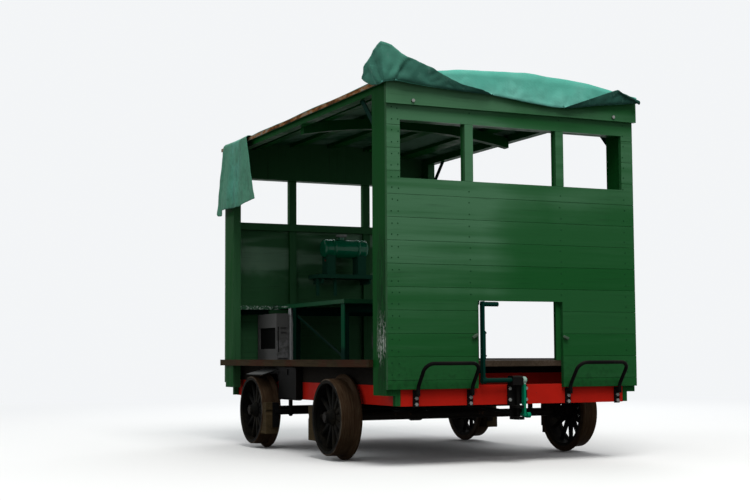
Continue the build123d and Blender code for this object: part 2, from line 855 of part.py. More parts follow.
def bench_boards():
    """The lengthwise seat boards."""
    width = 2 * bench_half_width / bench_board_count
    boards = []
    low = bench_top - bench_board
    for n in range(bench_board_count):
        y0 = -bench_half_width + n * width + board_gap / 2
        boards.append(block(bench_rear, bench_front, y0, y0 + width - board_gap, low, bench_top))
    x0 = -headstock_face + stud_depth + 2
    side_seat = block(x0, x0 + side_seat_depth, bench_half_width + 2, post_face - 2, low, bench_top)
    return boards + both_sides([side_seat])


def seat_cleats():
    """The angle bars that carry the side seats along the rear wall."""
    x0 = -headstock_face + stud_depth
    top = bench_top - bench_board
    bar = block(x0, x0 + 30, bench_half_width + 2, post_face - 2, top - 5, top)
    bar = bar + block(x0, x0 + 5, bench_half_width + 2, post_face - 2, top - 30, top)
    return both_sides([bar])


def slotted_leg():
    """The slotted angle that props the bench beside the locker, on the right side."""
    x0, x1 = slotted_leg_x, slotted_leg_x + slotted_leg_width
    y = -(bench_half_width - 4)
    top = bench_top - bench_board
    leg = block(x0, x1, y, y + 4, deck_top, top) + block(x0, x0 + 4, y, y + slotted_leg_width, deck_top, top)
    middle = (x0 + x1) / 2 + 2
    for n in range(slot_count):
        z = deck_top + 12 + n * slot_pitch
        leg = leg - block(middle - 5, middle + 5, y - 1, y + 5, z, z + 20)
    return leg


def bench_frames():
    """The angle-iron trestles under the bench: two legs, a top rail and a foot pad on each."""
    trestles = []
    top = bench_top - bench_board
    y1 = bench_half_width - 4
    for x in bench_frame_positions:
        rail = angle_bar(x, -y1, y1, top)
        parts = [rail]
        for side in (-1, 1):
            a, b = side * y1, side * (y1 - angle_thickness)
            flange = block(x, x + angle_leg, a, b, deck_top, top - 1)
            web = block(x, x + angle_thickness, a, side * (y1 - angle_leg), deck_top, top - 1)
            pad = block(x, x + angle_leg + 16, side * (y1 - angle_leg), a, deck_top, deck_top + 6)
            parts += [flange, web, pad]
        trestles.append(fuse(parts))
    return trestles


def angle_bar(x, y0, y1, top):
    """A cross rail of angle section, its flat leg under the boards."""
    flat = block(x, x + angle_leg, y0, y1, top - angle_thickness, top)
    down = block(x, x + angle_thickness, y0, y1, top - angle_leg, top)
    return flat + down


def bench_braces():
    """The flat diagonal stays between the trestles, on both sides."""
    x0 = bench_frame_positions[0] + angle_leg + 16 + board_gap
    x1 = bench_frame_positions[1] - board_gap
    z0, z1 = deck_top + 20, bench_top - bench_board - 45
    y = bench_half_width - 4 - angle_thickness
    rise = bench_stay_width
    outline = Polyline((x0, z1), (x0, z1 - rise), (x1, z0), (x1, z0 + rise), close=True)
    stay = Pos(0, y, 0) * extrude(Plane.XZ * make_face(outline), 5)
    return both_sides([stay])


def engine():
    """The air-cooled twin under the bench, its flywheel, chain cases and gearbox on one sub-frame."""
    z_shaft = deck_top + shaft_height
    half = crankcase_width / 2
    case = cross_rod(engine_x, z_shaft, -half, half, crankcase_radius)
    feet = block(engine_x - 120, engine_x + 120, -half + 20, half - 20, deck_top, deck_top + 34)
    parts = [case, feet]
    start = crankcase_radius - 12
    height = start + 2 * (fin_count - 1) * fin_pitch / 2 + 18
    for side in (-1, 1):
        place = Pos(engine_x, 0, z_shaft) * Rot(0, side * cylinder_angle, 0)
        barrel = Pos(0, 0, (start + height) / 2) * Cylinder(cylinder_radius, height - start)
        fin = Cylinder(fin_radius, fin_thickness)
        fins = [Pos(0, 0, start + 14 + n * fin_pitch) * fin for n in range(fin_count)]
        parts += [place * piece for piece in [barrel] + fins]
    wheel_end = -half - flywheel_width
    rim = cross_rod(engine_x, z_shaft, wheel_end, -half, flywheel_radius)
    rim = rim - cross_rod(engine_x, z_shaft, wheel_end - 1, wheel_end + 12, flywheel_radius - 24)
    parts += [rim, cross_rod(engine_x, z_shaft, wheel_end - 16, -half, 22)]
    gear_z = z_shaft - 30
    primary = drive_case(
        (engine_x, z_shaft, primary_case_front_radius),
        (gearbox_x, gear_z, primary_case_rear_radius),
        half,
        half + primary_case_width,
    )
    x0, x1 = gearbox_x - gearbox_length / 2, gearbox_x + gearbox_length / 2
    gearbox = block(x0, x1, half + primary_case_width, chain_case_y, deck_top, deck_top + gearbox_height)
    gearbox = fillet(gearbox.edges().filter_by(Axis.Y).group_by(Axis.Z)[-1], 40)
    above = block(-1000, 0, 0, 500, deck_top, deck_top + 400)
    return fuse(parts + [primary, gearbox, final_drive() & above])


def fuel_tank():
    """The drum-shaped tank above the rear shelf, with its neck and cap."""
    half = tank_length / 2
    tank = rod((tank_x, tank_y - half, tank_z), (tank_x, tank_y + half, tank_z), tank_radius)
    tank = fillet(tank.edges().filter_by(GeomType.CIRCLE), 22)
    neck = Pos(tank_x, tank_y - 20, tank_z + tank_radius + 8) * Cylinder(20, 22)
    cap = Pos(tank_x, tank_y - 20, tank_z + tank_radius + 25) * Cylinder(tank_cap_radius, 14)
    return fuse([tank, neck, cap])


def tank_shelf():
    """The shelf on the rear window posts, with the tank's two saddles and two hangers below."""
    x0 = -headstock_face + window_post_depth
    x1 = tank_x + 80
    top = shelf_z + shelf_thickness
    y0, y1 = tank_y - 6 - shelf_half_length, tank_y - 6 + shelf_half_length
    parts = [block(x0, x1, y0, y1, shelf_z, top)]
    parts += [block(x1 - 60, x1 - 54, y - 11, y + 11, shelf_z - 115, shelf_z) for y in (y0 + 15, y0 + 141)]
    parts += [block(x0, x1 - 20, y - 4, y + 4, shelf_z - 34, shelf_z) for y in (y0 + 40, y1 - 40)]
    half = saddle_width / 2
    for y in (tank_y - 112, tank_y + 112):
        saddle = block(tank_x - 45, tank_x + 45, y - half, y + half, top, tank_z - 20)
        parts.append(saddle - cross_rod(tank_x, tank_z, y - 2 * half, y + 2 * half, tank_radius + seat_gap))
    return fuse(parts)


def locker():
    """The grey steel box on the deck beside the rear post, with a recessed slot, louvres and a rim."""
    x0, x1 = locker_x - locker_length / 2, locker_x + locker_length / 2
    y0, y1 = locker_y - locker_width / 2, locker_y + locker_width / 2
    z1 = deck_top + locker_height
    body = block(x0, x1, y0, y1, deck_top, z1)
    slot = block(x0 + 30, x1 - 20, y0 - 1, y0 + 12, deck_top + 75, z1 - 90)
    louvres = [block(x1 - 8, x1 + 1, y0 + 30, y1 - 14, z1 - drop, z1 - drop + 12) for drop in (100, 130)]
    rim = block(x1, x1 + 5, y0 + 8, y1 - 8, deck_top + 18, deck_top + 105)
    lip = block(x1, x1 + 10, y0 + 8, y1 - 8, deck_top + 18, deck_top + 24)
    return fuse([body - slot - louvres[0] - louvres[1], rim, lip])


def sheet_fold(outline, plane, place, thickness):
    """A stiff piece of the sheet from its outline, each corner a (y or x, height above the eaves) pair."""
    face = make_face(Polyline(*[(u, roof_eave + height) for u, height in outline], close=True))
    return place * extrude(plane * face, thickness)


def tarpaulin():
    """The roof's sheet: the spread part, its front hem, the turned-up front corner and the rear flap."""
    under = roof_radius + sheet_lift
    outer = under + sheet_thickness
    top = arch_band(outer, under, sheet_rear, sheet_front, sheet_half_width)
    edge = sheet_half_width - 5
    crown = roof_rise + 15
    border = [(-edge, -fold_drop), *front_hem, (edge, -fold_drop), (edge, crown), (-edge, crown)]
    hem = sheet_fold(border, Plane.YZ, Pos(sheet_front - fold_thickness, 0, 0), fold_thickness)
    hem = hem & arch(outer, sheet_front - 2 * fold_thickness, sheet_front + 1)
    low_corner, high_corner = side_ear[2][1], side_ear[1][1]
    corner = [(fold_side, low_corner), (fold_side, high_corner), *front_ear]
    ear = sheet_fold(corner, Plane.YZ, Pos(sheet_front, 0, 0), fold_thickness)
    beside = Pos(0, fold_side + fold_thickness, 0)
    side = sheet_fold([(sheet_front + u, h) for u, h in side_ear], Plane.XZ, beside, fold_thickness)
    flap = sheet_fold([(sheet_rear + u, h) for u, h in side_flap], Plane.XZ, beside, fold_thickness)
    low, high = roof_eave + 6, roof_eave + 6 + fold_thickness / 2
    reaches = (
        (sheet_rear + side_flap[0][0], sheet_rear + side_flap[1][0]),
        (sheet_front + side_ear[3][0], sheet_front + side_ear[1][0]),
    )
    shoulders = [block(x0, x1, fold_side, 5 - sheet_half_width, low, high) for x0, x1 in reaches]
    return fuse([top, hem, ear, side, flap] + shoulders)


def write(node, solids):
    """Writes one node's solids to its own file."""
    solids = solids if isinstance(solids, list) else [solids]
    flat = [s for shape in solids for s in shape.solids()]
    shape = flat[0] if len(flat) == 1 else Compound(children=flat)
    export_step(shape, f"parts/{node}.step")
    print(f"{node}: {len(flat)} solids, {sum(s.volume for s in flat) / 1e3:.0f} cm3")


def rear(shapes):
    """The mirror images of front pieces, for the rear end."""
    shapes = shapes if isinstance(shapes, list) else [shapes]
    return [mirror(s, about=Plane.YZ) for s in shapes]


def main():
    os.makedirs("parts", exist_ok=True)
    for name, end in (("front", 1), ("rear", -1)):
        left, right, axle = wheelset(end)
        write(f"{name}_left_wheel", left)
        write(f"{name}_right_wheel", right)
        write(f"{name}_axle", axle)
    write("axleboxes", axleboxes(1) + axleboxes(-1))

    end_pieces = {
        "headstock": [headstock()],
        "wall_frame": wall_frame(),
        "fascia": [fascia()],
        "bump_loops": bump_loops(),
    }
    for name, shapes in end_pieces.items():
        write(f"front_{name}", shapes)
        write(f"rear_{name}", rear(shapes))
    write("front_wall_boards", wall_boards(True) + mullion_strips())
    write("rear_wall_boards", rear(wall_boards(False) + mullion_strips()))
    write("front_coupling", fuse([coupling(frame_top - 2), brake_bearing()]))
    write("rear_coupling", rear(coupling(wall_bottom)))

    write("solebars", both_sides([solebar()]))
    write("cross_members", cross_members())
    write("deck_bearers", deck_bearers())
    write("deck_boards", deck_boards())
    write("deck_kerbs", kerbs())
    write("roof_sheet", roof_sheet())
    write("roof_frame", purlins() + hoops())
    write("roof_side_rails", side_rails())
    write("roof_braces", roof_braces())
    write("brake_lever", brake_lever())
    write("brake_rods", brake_rods())
    write("brake_beams", brake_beams())
    write("brake_blocks", brake_blocks())
    write("rear_wheel_guards", rear_wheel_guards())
    write("side_box", side_box())
    write("chain_case", chain_case())
    write("bench_boards", bench_boards())
    write("bench_frames", bench_frames() + bench_braces() + seat_cleats() + [slotted_leg()])
    write("engine", engine())
    write("fuel_tank", fuel_tank())
    write("tank_shelf", tank_shelf())
    write("rear_locker", locker())
    write("tarpaulin", tarpaulin())


main()
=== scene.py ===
import json
import math
import random

import bmesh
import bpy
from mathutils import Matrix, Vector, noise


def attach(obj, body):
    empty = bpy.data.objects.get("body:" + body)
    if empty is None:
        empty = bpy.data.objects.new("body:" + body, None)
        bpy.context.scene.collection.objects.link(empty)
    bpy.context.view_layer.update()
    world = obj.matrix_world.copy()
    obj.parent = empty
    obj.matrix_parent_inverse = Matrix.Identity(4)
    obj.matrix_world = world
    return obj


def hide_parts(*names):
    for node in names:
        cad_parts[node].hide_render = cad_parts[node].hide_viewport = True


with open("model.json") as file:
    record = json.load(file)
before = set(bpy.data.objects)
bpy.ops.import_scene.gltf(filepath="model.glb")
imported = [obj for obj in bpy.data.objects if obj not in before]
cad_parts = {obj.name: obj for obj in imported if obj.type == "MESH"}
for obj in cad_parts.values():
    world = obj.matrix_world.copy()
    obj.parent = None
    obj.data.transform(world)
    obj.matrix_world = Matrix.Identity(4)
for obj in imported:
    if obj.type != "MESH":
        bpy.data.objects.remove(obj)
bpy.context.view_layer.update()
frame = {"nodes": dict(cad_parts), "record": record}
print("frame loaded", len(frame["nodes"]), "nodes")
random.seed(7)

# where the photograph was taken from
view = {
    "place": (7.2219, -3.5854, 0.5524), "yaw": 0.4356, "pitch": 0.0784, "roll": -0.0055, "lens": 64.64,
    "filmWidth": 36, "farthest": 200,
}
# levels and distances that the dressing lines up with
trolley = {
    "axleX": 0.5915, "axleZ": 0.228, "treadRadius": 0.203, "headFace": 1.224, "wallFace": 1.246,
    "wallHalf": 0.738, "innerWall": -1.0, "boardJoint": 0.430, "boardPitch": 0.1155, "boardRows": 12,
    "deckBottom": 0.495, "deckHalf": 0.738, "deckBoards": 12, "windowSill": 1.436, "windowHead": 1.729,
    "windowHalf": 0.664, "hatchHead": 0.828, "hatchSides": (-0.231, 0.278), "eaveZ": 1.930,
    "eaveHalf": 0.758, "roofRise": 0.080,
}
roofRadius = (trolley["eaveHalf"] ** 2 + trolley["roofRise"] ** 2) / (2 * trolley["roofRise"])


def roofHeight(y):
    # top of the roof boards at a distance from the centre line
    return trolley["eaveZ"] + trolley["roofRise"] - roofRadius + math.sqrt(roofRadius ** 2 - y ** 2)


def addCamera():
    data = bpy.data.cameras.new("camera")
    data.sensor_width = view["filmWidth"]
    data.lens = view["lens"]
    data.clip_end = view["farthest"]
    camera = bpy.data.objects.new("camera", data)
    yaw, pitch, roll = view["yaw"], view["pitch"], view["roll"]
    ahead = Vector((-math.cos(yaw) * math.cos(pitch), math.sin(yaw) * math.cos(pitch), math.sin(pitch)))
    flatRight = ahead.cross(Vector((0, 0, 1))).normalized()
    flatUp = flatRight.cross(ahead)
    right = flatRight * math.cos(roll) + flatUp * math.sin(roll)
    up = flatUp * math.cos(roll) - flatRight * math.sin(roll)
    turn = Matrix((right, up, -ahead)).transposed().to_4x4()
    camera.matrix_world = Matrix.Translation(view["place"]) @ turn
    bpy.context.collection.objects.link(camera)
    bpy.context.scene.camera = camera


def sign(operation, swapped=False):
    # the method that a sign between two values stands for
    def reckon(self, other):
        values = (other, self) if swapped else (self, other)
        return self.reckon(operation, *values)
    return reckon


class Wire:
    # an output socket that adds a Math node for each sign in an expression
    __add__ = __radd__ = sign("ADD")
    __sub__ = sign("SUBTRACT")
    __rsub__ = sign("SUBTRACT", True)
    __mul__ = __rmul__ = sign("MULTIPLY")
    __truediv__ = sign("DIVIDE")
    __pow__ = sign("POWER")
    __lt__ = sign("LESS_THAN")
    __gt__ = sign("GREATER_THAN")

    def __init__(self, paint, socket):
        self.paint = paint
        self.socket = socket

    def reckon(self, operation, *values):
        return self.paint.node("Math", {"operation": operation}, dict(enumerate(values)))

    def fraction(self):
        return self.reckon("FRACT", self)

    def floor(self):
        return self.reckon("FLOOR", self)

    def size(self):
        return self.reckon("ABSOLUTE", self)

    def sine(self):
        return self.reckon("SINE", self)


class Paint:
    # one material: its shader, and short ways to add the nodes that feed it
    def __init__(self, name, specular, roughness=0.5, coat=0.0):
        self.material = bpy.data.materials.new(name)
        self.material.use_nodes = True
        self.tree = self.material.node_tree
        self.shader = self.tree.nodes["Principled BSDF"]
        fixed = {
            "Roughness": roughness, "Specular IOR Level": specular,
            "Coat Weight": coat, "Coat Roughness": 0.12,
        }
        for socket, value in fixed.items():
            self.shader.inputs[socket].default_value = value
        self.place = self.node("TexCoord", {}, {}, "Object")

    def node(self, kind, settings, inputs, output=0):
        made = self.tree.nodes.new("ShaderNode" + kind)
        for setting, value in settings.items():
            if setting == "stops":
                self.setStops(made.color_ramp, value)
            else:
                setattr(made, setting, value)
        for socket, value in inputs.items():
            self.join(value, made.inputs[socket])
        return Wire(self, made.outputs[output])

    def setStops(self, ramp, stops):
        while len(ramp.elements) > 1:
            ramp.elements.remove(ramp.elements[0])
        for number, (position, colour) in enumerate(stops):
            stop = ramp.elements[0] if number == 0 else ramp.elements.new(position)
            stop.position = position
            stop.color = (*colour, 1)

    def join(self, value, socket):
        if isinstance(value, Wire):
            self.tree.links.new(value.socket, socket)
        elif socket.type == "RGBA":
            socket.default_value = (*value, 1)
        else:
            socket.default_value = value

    def split(self, vector):
        made = self.node("SeparateXYZ", {}, {0: vector})
        outputs = made.socket.node.outputs
        return [Wire(self, outputs[name]) for name in ("X", "Y", "Z")]

    def axes(self):
        return self.split(self.place)

    def facing(self):
        return self.split(self.node("NewGeometry", {}, {}, "Normal"))

    def noise(self, size, detail, stretch=(1, 1, 1), roughness=0.5):
        where = self.node("Mapping", {}, {"Vector": self.place, "Scale": stretch})
        inputs = {"Vector": where, "Scale": 1 / size, "Detail": detail, "Roughness": roughness}
        return self.node("TexNoise", {}, inputs, "Fac")

    def noises(self, look, *names):
        # the noises that a look holds as (size, detail, stretch, roughness)
        return [self.noise(*look[name]) for name in names]

    def ramp(self, value, low, high):
        # 0 below low, 1 above high, smooth between
        inputs = {"Value": value, "From Min": low, "From Max": high}
        return self.node("MapRange", {"interpolation_type": "SMOOTHSTEP"}, inputs)

    def rise(self, value, span):
        # a ramp over a span (from, to, share) that ends at the share instead of 1
        low, high, share = span
        return self.ramp(value, low, high) * share

    def inside(self, value, low, high, soft=0.001):
        # 1 between two values, 0 outside, with soft ends
        return self.ramp(value, low - soft, low + soft) * (1 - self.ramp(value, high - soft, high + soft))

    def mix(self, factor, first, second):
        # colours only; inputs 6 and 7 are the colour sockets
        return self.node("Mix", {"data_type": "RGBA"}, {0: factor, 6: first, 7: second}, 2)

    def feed(self, socket, value):
        self.join(value, self.shader.inputs[socket])

    def bump(self, height, distance, strength):
        made = self.node("Bump", {}, {"Height": height, "Distance": distance, "Strength": strength})
        self.feed("Normal", made)


# oil paint brushed on sawn boards, with a painted sheen toward the top and over the near half
boardLook = {
    "colour": (0.009, 0.074, 0.0175), "pale": (0.056, 0.15, 0.076), "side": (0.0045, 0.06, 0.011),
    "dirt": (0.006, 0.018, 0.008), "within": (0.15, 0.255, 0.175), "roughness": (0.26, 0.5),
    "dullness": (0.35, 0.7), "specular": 0.02, "relief": (0.002, 0.5), "fibre": (0.01, 5, (1, 0.04, 1)),
    "brush": (0.035, 4, (1, 0.04, 1)), "streak": (0.09, 3, (1, 0.04, 1)), "cloud": (0.45, 4),
    "speck": (0.02, 3), "band": (0.11, 2, (1, 0.12, 1)), "sheen": 0.95, "sheenHigh": (1.05, 1.5, 0.45),
    "sheenLow": (0.3, 0.6, 0.18), "sheenMiddle": (0.62, 1.1, 0.82), "nearHalf": (-0.2, 0.08),
    "nearShare": 0.66, "evenShare": 0.35, "streaks": (0.3, 0.72, 1.3), "reflectionHeight": (1.02, 1.12, 0.84),
    "insideLight": 0.16, "reflectionBands": (0.42, 0.54), "withinShare": 0.85, "brushed": (0.5, 0.85, 0.16),
    "fibres": (0.55, 0.85, 0.4), "toneShare": 0.14, "jointEdge": (0.5, 0.525, 0.2),
    "splashHeight": (0.4, 0.62), "splash": (0.46, 0.62, 0.35),
}
# the bench boards are darker, with less painted sheen, and a pale painted reflection along their right edge
# at the rear
benchLook = {
    **boardLook,
    "colour": (0.008, 0.055, 0.022), "pale": (0.11, 0.17, 0.12), "edgeSheen": (0.34, 0.4, 0.36),
    "fibre": (0.01, 5, (0.04, 1, 1)), "brush": (0.035, 4, (0.04, 1, 1)),
    "streak": (0.09, 3, (0.04, 1, 1)), "sheen": 0.2, "specular": 0.015, "sheenX": (-1.3, -0.86, 0.05),
    "sheenY": -0.448, "sheenSpots": (0.5, 0.6, 0.8),
}


def paintedBoards(name, look, joints=True):
    paint = Paint(name, look["specular"])
    x, y, z = paint.axes()
    fibre, brush, streak = paint.noises(look, "fibre", "brush", "streak")
    cloud, speck, band = paint.noises(look, "cloud", "speck", "band")
    height = z + (cloud - 0.5) * 0.5
    # painted sheen: paler toward the top and over the near half, on the faces that look ahead or back
    high = paint.rise(height, look["sheenHigh"])
    low = paint.rise(height, look["sheenLow"]) + paint.rise(height, look["sheenMiddle"])
    near = low * (1 - paint.ramp(y + (cloud - 0.5) * 0.4, *look["nearHalf"])) * look["nearShare"]
    ahead = paint.facing()[0]
    streaked = look["evenShare"] + paint.rise(streak, look["streaks"])
    sheen = (high + near) * streaked * look["sheen"] * ahead.size()
    # painted light on the inner face of the rear wall, with painted reflections in bands toward its top
    inside = (x < trolley["innerWall"]) * (ahead > 0.5)
    colour = paint.mix(paint.ramp(sheen * (1 - inside), 0.0, 1.0), look["colour"], look["pale"])
    reflectionBands = paint.rise(height, look["reflectionHeight"]) * paint.ramp(band, *look["reflectionBands"])
    colour = paint.mix(inside * (look["insideLight"] + reflectionBands) * look["withinShare"], colour, look["within"])
    colour = paint.mix(paint.rise(brush, look["brushed"]), colour, look["pale"])
    colour = paint.mix(paint.rise(fibre, look["fibres"]), colour, look["dirt"])
    if joints:
        course = (z - trolley["boardJoint"]) / trolley["boardPitch"]
        tone = paint.node("TexWhiteNoise", {"noise_dimensions": "1D"}, {"W": course.floor()}, "Value")
        colour = paint.mix(tone * look["toneShare"], colour, look["pale"])
        edge = (course.fraction() - 0.5).size()
        colour = paint.mix(paint.rise(edge + speck * 0.03, look["jointEdge"]), colour, look["dirt"])
    foot = 1 - paint.ramp(z, *look["splashHeight"])
    colour = paint.mix(foot * paint.rise(speck * 0.5 + cloud * 0.5, look["splash"]), colour, look["dirt"])
    # a pale painted reflection in spots along the bench boards' edge at the rear
    if "sheenSpots" in look:
        edge = paint.inside(x, *look["sheenX"]) * (y < look["sheenY"])
        colour = paint.mix(edge * paint.rise(fibre * 0.7 + speck * 0.3, look["sheenSpots"]), colour, look["edgeSheen"])
    paint.feed("Base Color", colour)
    dull, matt = look["roughness"]
    paint.feed("Roughness", dull + (matt - dull) * paint.ramp(cloud * 0.6 + brush * 0.4, *look["dullness"]))
    paint.bump(fibre * 0.35 + brush * 0.55 + cloud * 0.8, *look["relief"])
    return paint.material


# upright timbers, with painted shade on their sides and behind the hatch, rubbed to bare wood on the near
# corner post
timberLook = {
    **boardLook,
    "wood": (0.4, 0.43, 0.39), "shade": (0.004, 0.012, 0.006), "specular": 0.005,
    "relief": (0.002, 0.6), "fibre": (0.01, 5, (1, 1, 0.03)), "brush": (0.05, 3, (1, 1, 0.1)),
    "cloud": (0.5, 4), "streak": (0.005, 2, (1, 1, 0.05), 0.5), "speck": (0.006, 2, (1, 1, 0.3), 0.6),
    "patch": (0.05, 3, (1, 1, 0.3), 0.6), "clouds": (0.45, 0.8, 0.2), "brushed": (0.55, 0.85, 0.14),
    "faceFrom": (0.5, 0.6), "withinShare": 0.14, "postX": (1.13, 1.243, 0.02), "postY": -0.7,
    "bareFrom": (0.48, 0.6), "bareTo": (0.6, 0.86), "bared": (0.55, 0.6),
    "rubbedZ": (0.36, 1.15, 0.08), "rubbed": (0.42, 0.55), "rubbedShare": 0.6, "hatchX": (1.0, 1.222),
    "hatchTop": 0.86, "hatchSide": 0.45, "hatchShare": 0.7, "dull": 0.3, "dulled": (0.4, 0.7, 0.14),
    "bareDull": 0.3,
}


def paintedTimber(name, look):
    paint = Paint(name, look["specular"])
    x, y, z = paint.axes()
    fibre, brush, cloud = paint.noises(look, "fibre", "brush", "cloud")
    streak, speck, patch = paint.noises(look, "streak", "speck", "patch")
    # painted shade on the sides, which take the darker side colour; only faces that look ahead or back get
    # pale patches, a painted sheen
    forward = paint.facing()[0]
    ahead = forward.size()
    pale = (paint.rise(cloud, look["clouds"]) + paint.rise(brush, look["brushed"])) * ahead
    side = paint.mix(pale, look["side"], look["pale"])
    face = paint.mix(pale, look["colour"], look["pale"])
    colour = paint.mix(paint.ramp(ahead, *look["faceFrom"]), side, face)
    # painted light on the inner face at the rear
    inside = (x < trolley["innerWall"]) * (forward > 0.5)
    colour = paint.mix(inside * look["withinShare"], colour, look["within"])
    colour = paint.mix(paint.rise(fibre, look["fibres"]), colour, look["dirt"])

    height = z + (patch - 0.5) * 0.12
    post = paint.inside(x, *look["postX"]) * (y < look["postY"])
    band = paint.ramp(height, *look["bareFrom"]) * (1 - paint.ramp(height, *look["bareTo"]))
    spots = streak * 0.38 + speck * 0.42 + patch * 0.2 + band * 0.05
    worn = paint.ramp(spots, *look["bared"]) * band * post
    # darker streaks down the near post's side, in the same dark colour as the painted shade behind the hatch
    rubbed = paint.ramp(streak, *look["rubbed"]) * paint.inside(height, *look["rubbedZ"]) * post
    colour = paint.mix(rubbed * look["rubbedShare"], colour, look["shade"])
    # painted shade behind the hatch
    behind, before = look["hatchX"]
    hatch = (x > behind) * (x < before) * (z < look["hatchTop"]) * (y.size() < look["hatchSide"])
    colour = paint.mix(hatch * look["hatchShare"], colour, look["shade"])
    colour = paint.mix(worn, colour, look["wood"])
    paint.feed("Base Color", colour)
    paint.feed("Roughness", look["dull"] + paint.rise(brush, look["dulled"]) + look["bareDull"] * worn)
    paint.bump(fibre * 0.5 + brush * 0.5 - worn * 0.6, *look["relief"])
    return paint.material


# unpainted timber: its tones from dark to pale fibres, and the stain that lies on it in patches
woodFinish = {
    "specular": 0.01, "relief": (0.003, 0.7), "fibre": (0.01, 6, (0.05, 1, 1), 0.65),
    "knot": (0.12, 3, (0.05, 1, 1)), "patch": (0.22, 4), "patches": (0.45, 0.62),
}
woodLooks = {
    "deck_wood": {
        "tones": ((0.25, (0.018, 0.013, 0.009)), (0.5, (0.045, 0.032, 0.022)), (0.8, (0.11, 0.085, 0.065))),
        "rough": 0.72, "stain": 0.5, "stained": (0.03, 0.026, 0.022),
    },
    "kerb_wood": {
        "tones": ((0.25, (0.012, 0.008, 0.004)), (0.5, (0.027, 0.019, 0.01)), (0.8, (0.062, 0.046, 0.026))),
        "rough": 0.7, "stain": 0.5, "stained": (0.05, 0.013, 0.008),
    },
    "block_wood": {
        "tones": (
            (0.25, (0.016, 0.012, 0.007)), (0.6, (0.048, 0.034, 0.017)), (0.85, (0.095, 0.066, 0.034)),
        ),
        "rough": 0.7, "stain": 0.4, "stained": (0.02, 0.018, 0.014),
    },
    "dark_timber": {
        "tones": (
            (0.25, (0.006, 0.006, 0.005)), (0.6, (0.014, 0.012, 0.01)), (0.85, (0.028, 0.023, 0.019)),
        ),
        "rough": 0.75, "stain": 0.3, "stained": (0.012, 0.011, 0.009),
    },
}


def weatheredWood(name, look):
    paint = Paint(name, look["specular"])
    fibre, knot, patch = paint.noises(look, "fibre", "knot", "patch")
    colour = paint.node("ValToRGB", {"stops": look["tones"]}, {"Fac": fibre * 0.55 + knot * 0.45}, "Color")
    colour = paint.mix(paint.rise(patch, (*look["patches"], look["stain"])), colour, look["stained"])
    paint.feed("Base Color", colour)
    paint.feed("Roughness", look["rough"] - 0.15 + 0.3 * fibre)
    paint.bump(fibre + 0.5 * knot, *look["relief"])
    return paint.material


# painted steel: faded in clouds, chipped to what is under the paint, dusty where it faces up
steelFinish = {
    "coat": 0.0, "specular": 0.02, "relief": (0.0012, 0.6), "roughness": (0.3, 0.5),
    "orange": (0.012, 2), "patch": (0.22, 5), "chip": (0.035, 6, (1, 1, 1), 0.65),
    "fading": (0.35, 0.7, 0.5), "clouds": (0.3, 0.7), "chipFrom": 0.7, "chipSoft": 0.05,
    "chipShare": 0.8, "dust": (0.05, 0.046, 0.036), "dusty": 0.3, "dustFacing": (0.4, 0.95),
    "dustPatches": (0.3, 0.6), "zones": (),
}
# zones in a colour apart from the rest: lever and shaft, crank, its boss, slotted leg, bench leg and stay,
# rods, shelf
tealZones = (
    {"box": {"x": (1.2, 1.33), "y": (-0.26, 0.012), "z": (0.4, 0.9)}, "soft": 0.002,
     "colour": (0.002, 0.024, 0.017)},
    {"box": {"x": (1.2, 1.33), "y": (0.012, 0.08), "z": (0.2, 0.46)}, "soft": 0.002,
     "colour": (0.003, 0.19, 0.095)},
    {"box": {"x": (1.2, 1.33), "y": (0.012, 0.034), "z": (0.405, 0.445)}, "soft": 0.002,
     "patches": (0.4, 0.55), "colour": (0.3, 0.42, 0.36)},
    {"box": {"x": (-0.845, -0.799), "y": (-0.452, -0.4), "z": (0.52, 0.87)}, "soft": 0.001,
     "colour": (0.34, 0.35, 0.35)},
    {"box": {"x": (-0.01, 0.07), "y": (-0.452, -0.438), "z": (0.6, 0.85)}, "soft": 0.02,
     "colour": (0.003, 0.082, 0.032)},
    {"box": {"x": (-0.78, -0.02), "y": (-0.46, -0.4), "z": (0.53, 0.845)}, "soft": 0.004,
     "colour": (0.001, 0.012, 0.007)},
    {"box": {"x": (-1.2, 1.19), "y": (-0.9, 0.9), "z": (0.1, 0.48)}, "soft": 0.01,
     "colour": (0.01, 0.016, 0.014)},
    {"box": {"x": (-1.2, -1.0), "z": (0.94, 1.26)}, "soft": 0.005,
     "colour": (0.014, 0.066, 0.04)},
)
# the grey box: paler patches low on its front, a painted highlight, and painted shade inside its slot
lockerZones = (
    {"box": {"x": (-0.824, -0.79), "z": (0.53, 0.68)}, "soft": 0.01,
     "patches": (0.42, 0.55), "colour": (0.14, 0.14, 0.145)},
    {"box": {"y": (-0.5275, -0.5215), "z": (0.58, 0.74)}, "soft": 0.001,
     "colour": (0.004, 0.004, 0.004)},
)
